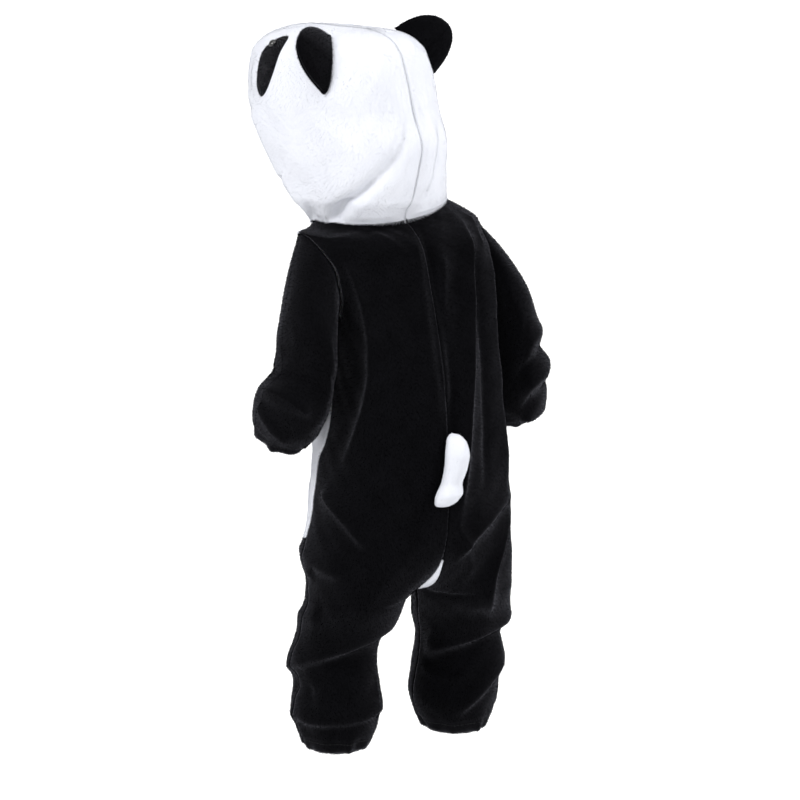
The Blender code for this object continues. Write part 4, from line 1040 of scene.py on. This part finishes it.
# ---------------------------------------------------------------------------------------------
# The face: two slanted eye patches and a small nose, cut from black plush, laid on the hood and
# overcast round their edges.  A glossy domed eye is fixed on each patch.
PATCH_TAPER, PATCH_SINK, PATCH_TURNS, PATCH_RINGS = 0.12, 0.4, 64, 12
EYE_PATCH_AT, EYE_PATCH_RADII, EYE_PATCH_SLANT = (0.415, 160.0), (15.5, 39.5), -8.0
EYE_PATCH_CUT, EYE_PATCH_AREA = (0.036, 0.083), 0.0020
NOSE_AT, NOSE_RADII = (0.0, 136.0), (11.0, 7.0)
NOSE_CUT, NOSE_AREA = (0.027, 0.019), 0.00042
OVERCAST_APART = 3.42
OVERCAST_ENDS = ((-2.2, -0.2), (0.5, 1.4))      # each end's reach past the edge, and its depth
EYE_AT, EYE_RADIUS, EYE_HEIGHT, EYE_PROUD = (-0.35, 0.62), 4.6, 3.0, 1.0
eye_finish = Finish("black eye", Base_Color=(0.004, 0.004, 0.005), Roughness=0.12, Specular_IOR_Level=0.6,
                    Coat_Weight=0.8, Coat_Roughness=0.04)


def slanted(centre, slant, across, along):
    """Where a place on a slanted patch lies on the hood, as u and up."""
    slant = math.radians(slant)
    return (centre[0] + (across * math.cos(slant) - along * math.sin(slant)) / CLOTH_PER_U,
            centre[1] + across * math.sin(slant) + along * math.cos(slant))


def hood_oval(side, centre, radii, slant, rings, turns):
    """An oval laid on the hood ring by ring: its points, the directions out, and its flat cut."""
    turn, ring = np.linspace(0, 2 * math.pi, turns + 1)[None, :], np.asarray(rings)[:, None]
    across = radii[0] * np.cos(turn) * ring * (1 + PATCH_TAPER * np.sin(turn))
    along = radii[1] * np.sin(turn) * ring
    u, up = slanted(centre, slant, across, along)
    own, other = hood_cloth(side, np.abs(u), up), hood_cloth(-side, np.abs(u), up)
    points, outward = (np.where((u >= 0)[..., None], a, b) for a, b in zip(own, other))
    return points, outward, stack(across, along, 0.0)


def face_patch(node, side, centre, radii, slant, cut, area):
    """A patch of black plush on the hood, with the stitches over its edge."""
    rings = np.sin(np.linspace(0, math.pi / 2, PATCH_RINGS))
    points, outward, laid = hood_oval(side, centre, radii, slant, rings, PATCH_TURNS)
    lifted = points + outward * (BLACK_PILE_HEIGHT - PATCH_SINK)
    plush_piece(node, lifted, outward, laid, BLACK,
                cut, area, sewn={"bottom": 0.6}, rims={}, held="laid")
    count = math.ceil(math.pi * (radii[0] + radii[1]) / OVERCAST_APART)
    out = hood_oval(side, centre, radii, slant, (1,), count)[1][0, :-1]
    ends = []
    for reach, depth in OVERCAST_ENDS:
        edge = hood_oval(side, centre, (radii[0] + reach, radii[1] + reach), slant, (1,), count)[0][0, :-1]
        ends.append(edge - out * depth)
    stitches(node + "_overcast", *ends, BLACK_THREAD)


for side, name in SIDES:
    face_patch("eye_patch_" + name, side, EYE_PATCH_AT, EYE_PATCH_RADII, EYE_PATCH_SLANT,
               EYE_PATCH_CUT, EYE_PATCH_AREA)
    across, along = (share * radius for share, radius in zip(EYE_AT, EYE_PATCH_RADII))
    middle, out = hood_cloth(side, *slanted(EYE_PATCH_AT, EYE_PATCH_SLANT, across, along))
    dome = bmesh.new()
    bmesh.ops.create_uvsphere(dome, u_segments=28, v_segments=16, radius=1,
                              matrix=ball(middle + out * EYE_PROUD, out, EYE_RADIUS, EYE_HEIGHT))
    small_parts("eye_" + name, dome, eye_finish, "plush_black")
face_patch("nose_patch", 1, NOSE_AT, NOSE_RADII, 0, NOSE_CUT, NOSE_AREA)

# ---------------------------------------------------------------------------------------------
# The ears, each a stuffed D of black plush sewn from a front and a back half.  A valley runs over
# the D where the halves join.
EAR_AT, EAR_RADII, EAR_HEIGHT = (0.645, 167.0), (14.0, 37.5), 50.0
EAR_ASIDE, EAR_UP, EAR_AHEAD = 0.78, 0.62, 0.08
EAR_LIFT, EAR_TURNED, EAR_VALLEY, EAR_VALLEY_REACH, VALLEY_START = 0.9, 20.0, 1.5, 2.4, 0.1
EAR_TURNS, EAR_CAP_RINGS, EAR_DOME_RINGS = 56, 7, 30


def stuffed_piece(node, points, outward, plush):
    """A stuffed plush piece through rings of points, in place of its CAD node."""
    slot, face, _, pile, pile_height, _ = plush
    backing = points - outward * pile_height
    laid = stack(run_lengths(points, 1)[0], run_lengths(points, 0)[0], 0.0)
    made = cloth_mesh(node + "_pad", backing, outward, laid, (face,))
    in_place_of(node, made, slot)
    pile_mesh(node + "_pile", backing, outward, pile, pile_height)


def ring_outward(points):
    """Directions out of closed rings of points, from the middle of their neighbours."""
    across = np.roll(points[:, :-1], -1, axis=1) - np.roll(points[:, :-1], 1, axis=1)
    outward = unit(np.cross(np.gradient(points[:, :-1], axis=0), across))
    outward *= np.sign(np.sum(outward * (points[:, :-1] - points.mean(axis=(0, 1))), axis=-1).mean())
    for row, side in ((0, -1), (-1, 1)):
        if np.ptp(points[row], axis=0).max() < TINY:
            outward[row] = side * unit(points[-1].mean(axis=0) - points[0].mean(axis=0))
    return np.concatenate([outward, outward[:, :1]], axis=1)


for side, name in SIDES:
    root, out_of_hood = (found[0] for found in hood_oval(side, EAR_AT, EAR_RADII, 0, (1,), EAR_TURNS)[:2])
    root = root + out_of_hood * EAR_LIFT
    middle = root[:-1].mean(axis=0)
    turned = math.radians(EAR_TURNED)
    out = unit(np.array([math.cos(turned) * side, math.sin(turned), 0.0]) * EAR_ASIDE
               + np.array([0, 0, EAR_UP]) + np.array([math.sin(turned), -math.cos(turned), 0]) * EAR_AHEAD)
    rise = np.sin(np.linspace(0, math.pi / 2, EAR_DOME_RINGS))[:, None, None]
    scale = np.sqrt(np.clip(1 - rise**2, 0, 1))
    flat = root - middle
    along_out = (flat @ out)[:, None] * out
    dome = middle + (flat - along_out) * scale + along_out * scale * (1 - rise) + out * EAR_HEIGHT * rise
    cap = middle + flat * np.linspace(0, 1, EAR_CAP_RINGS + 1)[:-1, None, None]
    points = np.concatenate([cap, dome])
    outward = ring_outward(points)
    outward[:len(cap) - 1] = -out
    turn = np.linspace(0, 2 * math.pi, EAR_TURNS + 1)[None, :]
    breadth = np.concatenate([np.ones(len(cap)), scale[:, 0, 0]])[:, None]
    from_seam = np.abs(np.cos(turn)) * EAR_RADII[0] * breadth
    on_dome = np.concatenate([np.zeros(len(cap)), smooth(rise[:, 0, 0] / VALLEY_START)])[:, None]
    valley = EAR_VALLEY * np.exp(-(from_seam / EAR_VALLEY_REACH) ** 2) * on_dome
    stuffed_piece("ear_" + name, points - outward * valley[..., None], outward, BLACK)

# ---------------------------------------------------------------------------------------------
# The tail, stuffed white plush sewn at its top on the centre back seam.  It hangs down the seam,
# pinched at its middle.
TAIL_CLEARANCE, TAIL_LINES, TAIL_RINGS = 0.5, 41, 46
TAIL_COLUMNS = "down shift half_width half_thick"
TAIL_ROWS = [
    (256, -4, 0, 0),
    (258, -4, 7, 5),
    (266, -4, 12, 10),
    (279, -3, 14, 13),
    (294, 0, 13, 13),
    (306, 4, 12, 12),
    (318, 8, 15, 14),
    (326, 11, 13, 12),
    (332, 12, 8, 7),
    (334, 12, 0, 0),
]
TAIL = Table(TAIL_COLUMNS, TAIL_ROWS)
turn = np.linspace(0, 2 * math.pi, TAIL_LINES)[:, None]
row_down, row_thick = np.array(TAIL_ROWS, float)[:, [0, 3]].T
rings = []
for place in np.linspace(0, len(TAIL_ROWS) - 1, TAIL_RINGS):
    down = np.interp(place, np.arange(len(TAIL_ROWS)), row_down)
    shift, half_width, half_thick = TAIL.at(np.array(down), "shift", "half_width", "half_thick")
    middle, out = body_cloth(1, 1.0, down)
    centre = middle + out * (np.interp(down, row_down, row_thick) + TAIL_CLEARANCE) + np.array([shift, 0, 0])
    rings.append(centre + half_width * np.cos(turn) * np.array([1.0, 0, 0]) + half_thick * np.sin(turn) * out)
points = np.array(rings)
stuffed_piece("tail", points, ring_outward(points), WHITE)

# ---------------------------------------------------------------------------------------------
# The zip down the centre front: two woven tapes, moulded teeth along their meeting edges, and a
# metal slider whose pull swings.
TAPE_DEPTH, TAPE_WALL, TAPE_START = 1.0, 0.5, 0.03
TAPE_CUT, TAPE_AREA, TAPE_LINES = (0.014, 0.42), 0.0029, 9
TOOTH_PITCH, TOOTH, TOOTH_PAST_MIDDLE, TOOTH_BEVEL = 2.2, (2.6, 1.3, 0.85), 0.9, 0.2
TEETH_START, TEETH_END = 2.0, 3.0
TOPSTITCH_AT, TOPSTITCH_PROUD = 3.0, 0.5
TWILL_PER_M, BRUSHING_PER_M = 420.0, 260.0
WHITE_THREAD = (Finish("white thread", Base_Color=(0.75, 0.76, 0.78), Roughness=0.6,
                       Specular_IOR_Level=0.4), "plush_white")
tape_finish = Finish("black zip tape", Roughness=0.8, Specular_IOR_Level=0.3)
twill = tape_finish.node("ShaderNodeTexWave", {"bands_direction": "DIAGONAL"},
                         {"Vector": tape_finish.stretched("cloth", (1.0, 1.0, 1.0)), "Scale": TWILL_PER_M})
tape_finish.drive(Base_Color=tape_finish.blend(twill, (0.008, 0.008, 0.009), (0.018, 0.018, 0.021)),
                  Normal=tape_finish.raised(twill, 0.4, 0.2 * MM))
tooth_finish = Finish("black zip teeth", Base_Color=(0.012, 0.012, 0.013), Roughness=0.35,
                      Specular_IOR_Level=0.5)
metal_finish = Finish("satin metal", Metallic=1.0, Base_Color=(0.42, 0.42, 0.44))
brushed = metal_finish.noise(metal_finish.stretched("", (1.0, 1.0, 14.0)), BRUSHING_PER_M)
metal_finish.drive(Roughness=brushed * 0.16 + 0.24)

zip_across = zip_u(front_rows)[:, None] * np.linspace(TAPE_START, 1, TAPE_LINES)
zip_down = front_down(front_rows, zip_across)
for side, name in SIDES:
    points, outward = body_cloth(side, zip_across, zip_down)
    laid = stack(zip_across * CLOTH_PER_U, zip_down, 0.0)
    tape = cloth_mesh("zip_tape_" + name + "_cloth", points - outward * TAPE_DEPTH, outward, laid,
                      (tape_finish,))
    wall = tape.modifiers.new("wall", "SOLIDIFY")
    wall.thickness, wall.offset = TAPE_WALL * MM, -1
    in_place_of("zip_tape_" + name, tape, "zip_tape")
    line, out = points[:, 0], outward[:, 0]
    length = run_lengths(line, 0)[0]
    teeth = bmesh.new()
    for at in np.arange(TEETH_START + (side > 0) * TOOTH_PITCH / 2, length[-1] - TEETH_END, TOOTH_PITCH):
        here, ahead, up_out = (Vector(places_along(data, length, spot))
                               for spot, data in ((at, line), (at + 1, line), (at, out)))
        run = (ahead - here).normalized()
        aside = run.cross(up_out).normalized()
        up_out = aside.cross(run)
        turned = Matrix((aside, run, up_out)).transposed().to_4x4()
        aside_middle = Vector((side * (TOOTH[0] / 2 - TOOTH_PAST_MIDDLE), 0, 0))
        centre = here - up_out * (TAPE_DEPTH - TOOTH[2] / 2) + aside_middle
        bmesh.ops.create_cube(teeth, size=1, matrix=Matrix.Translation(centre * MM) @ turned
                              @ Matrix.Diagonal((*(size * MM for size in TOOTH), 1)))
    bmesh.ops.bevel(teeth, geom=teeth.edges[:], offset=TOOTH_BEVEL * MM, segments=1, profile=0.5,
                    affect="EDGES", material=-1)
    made = made_object("zip_teeth_" + name, teeth, tooth_finish)
    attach(made, "garment")
    beside = body_cloth(side, zip_u(front_rows) + TOPSTITCH_AT / CLOTH_PER_U, front_rows)
    stitch_row("zip_topstitch_" + name, *beside, TOPSTITCH_PROUD - WHITE_PILE_HEIGHT, WHITE_THREAD)
for node in ("zip_slider", "zip_pull"):
    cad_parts[node].data.materials.clear()
    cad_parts[node].data.materials.append(metal_finish.material)
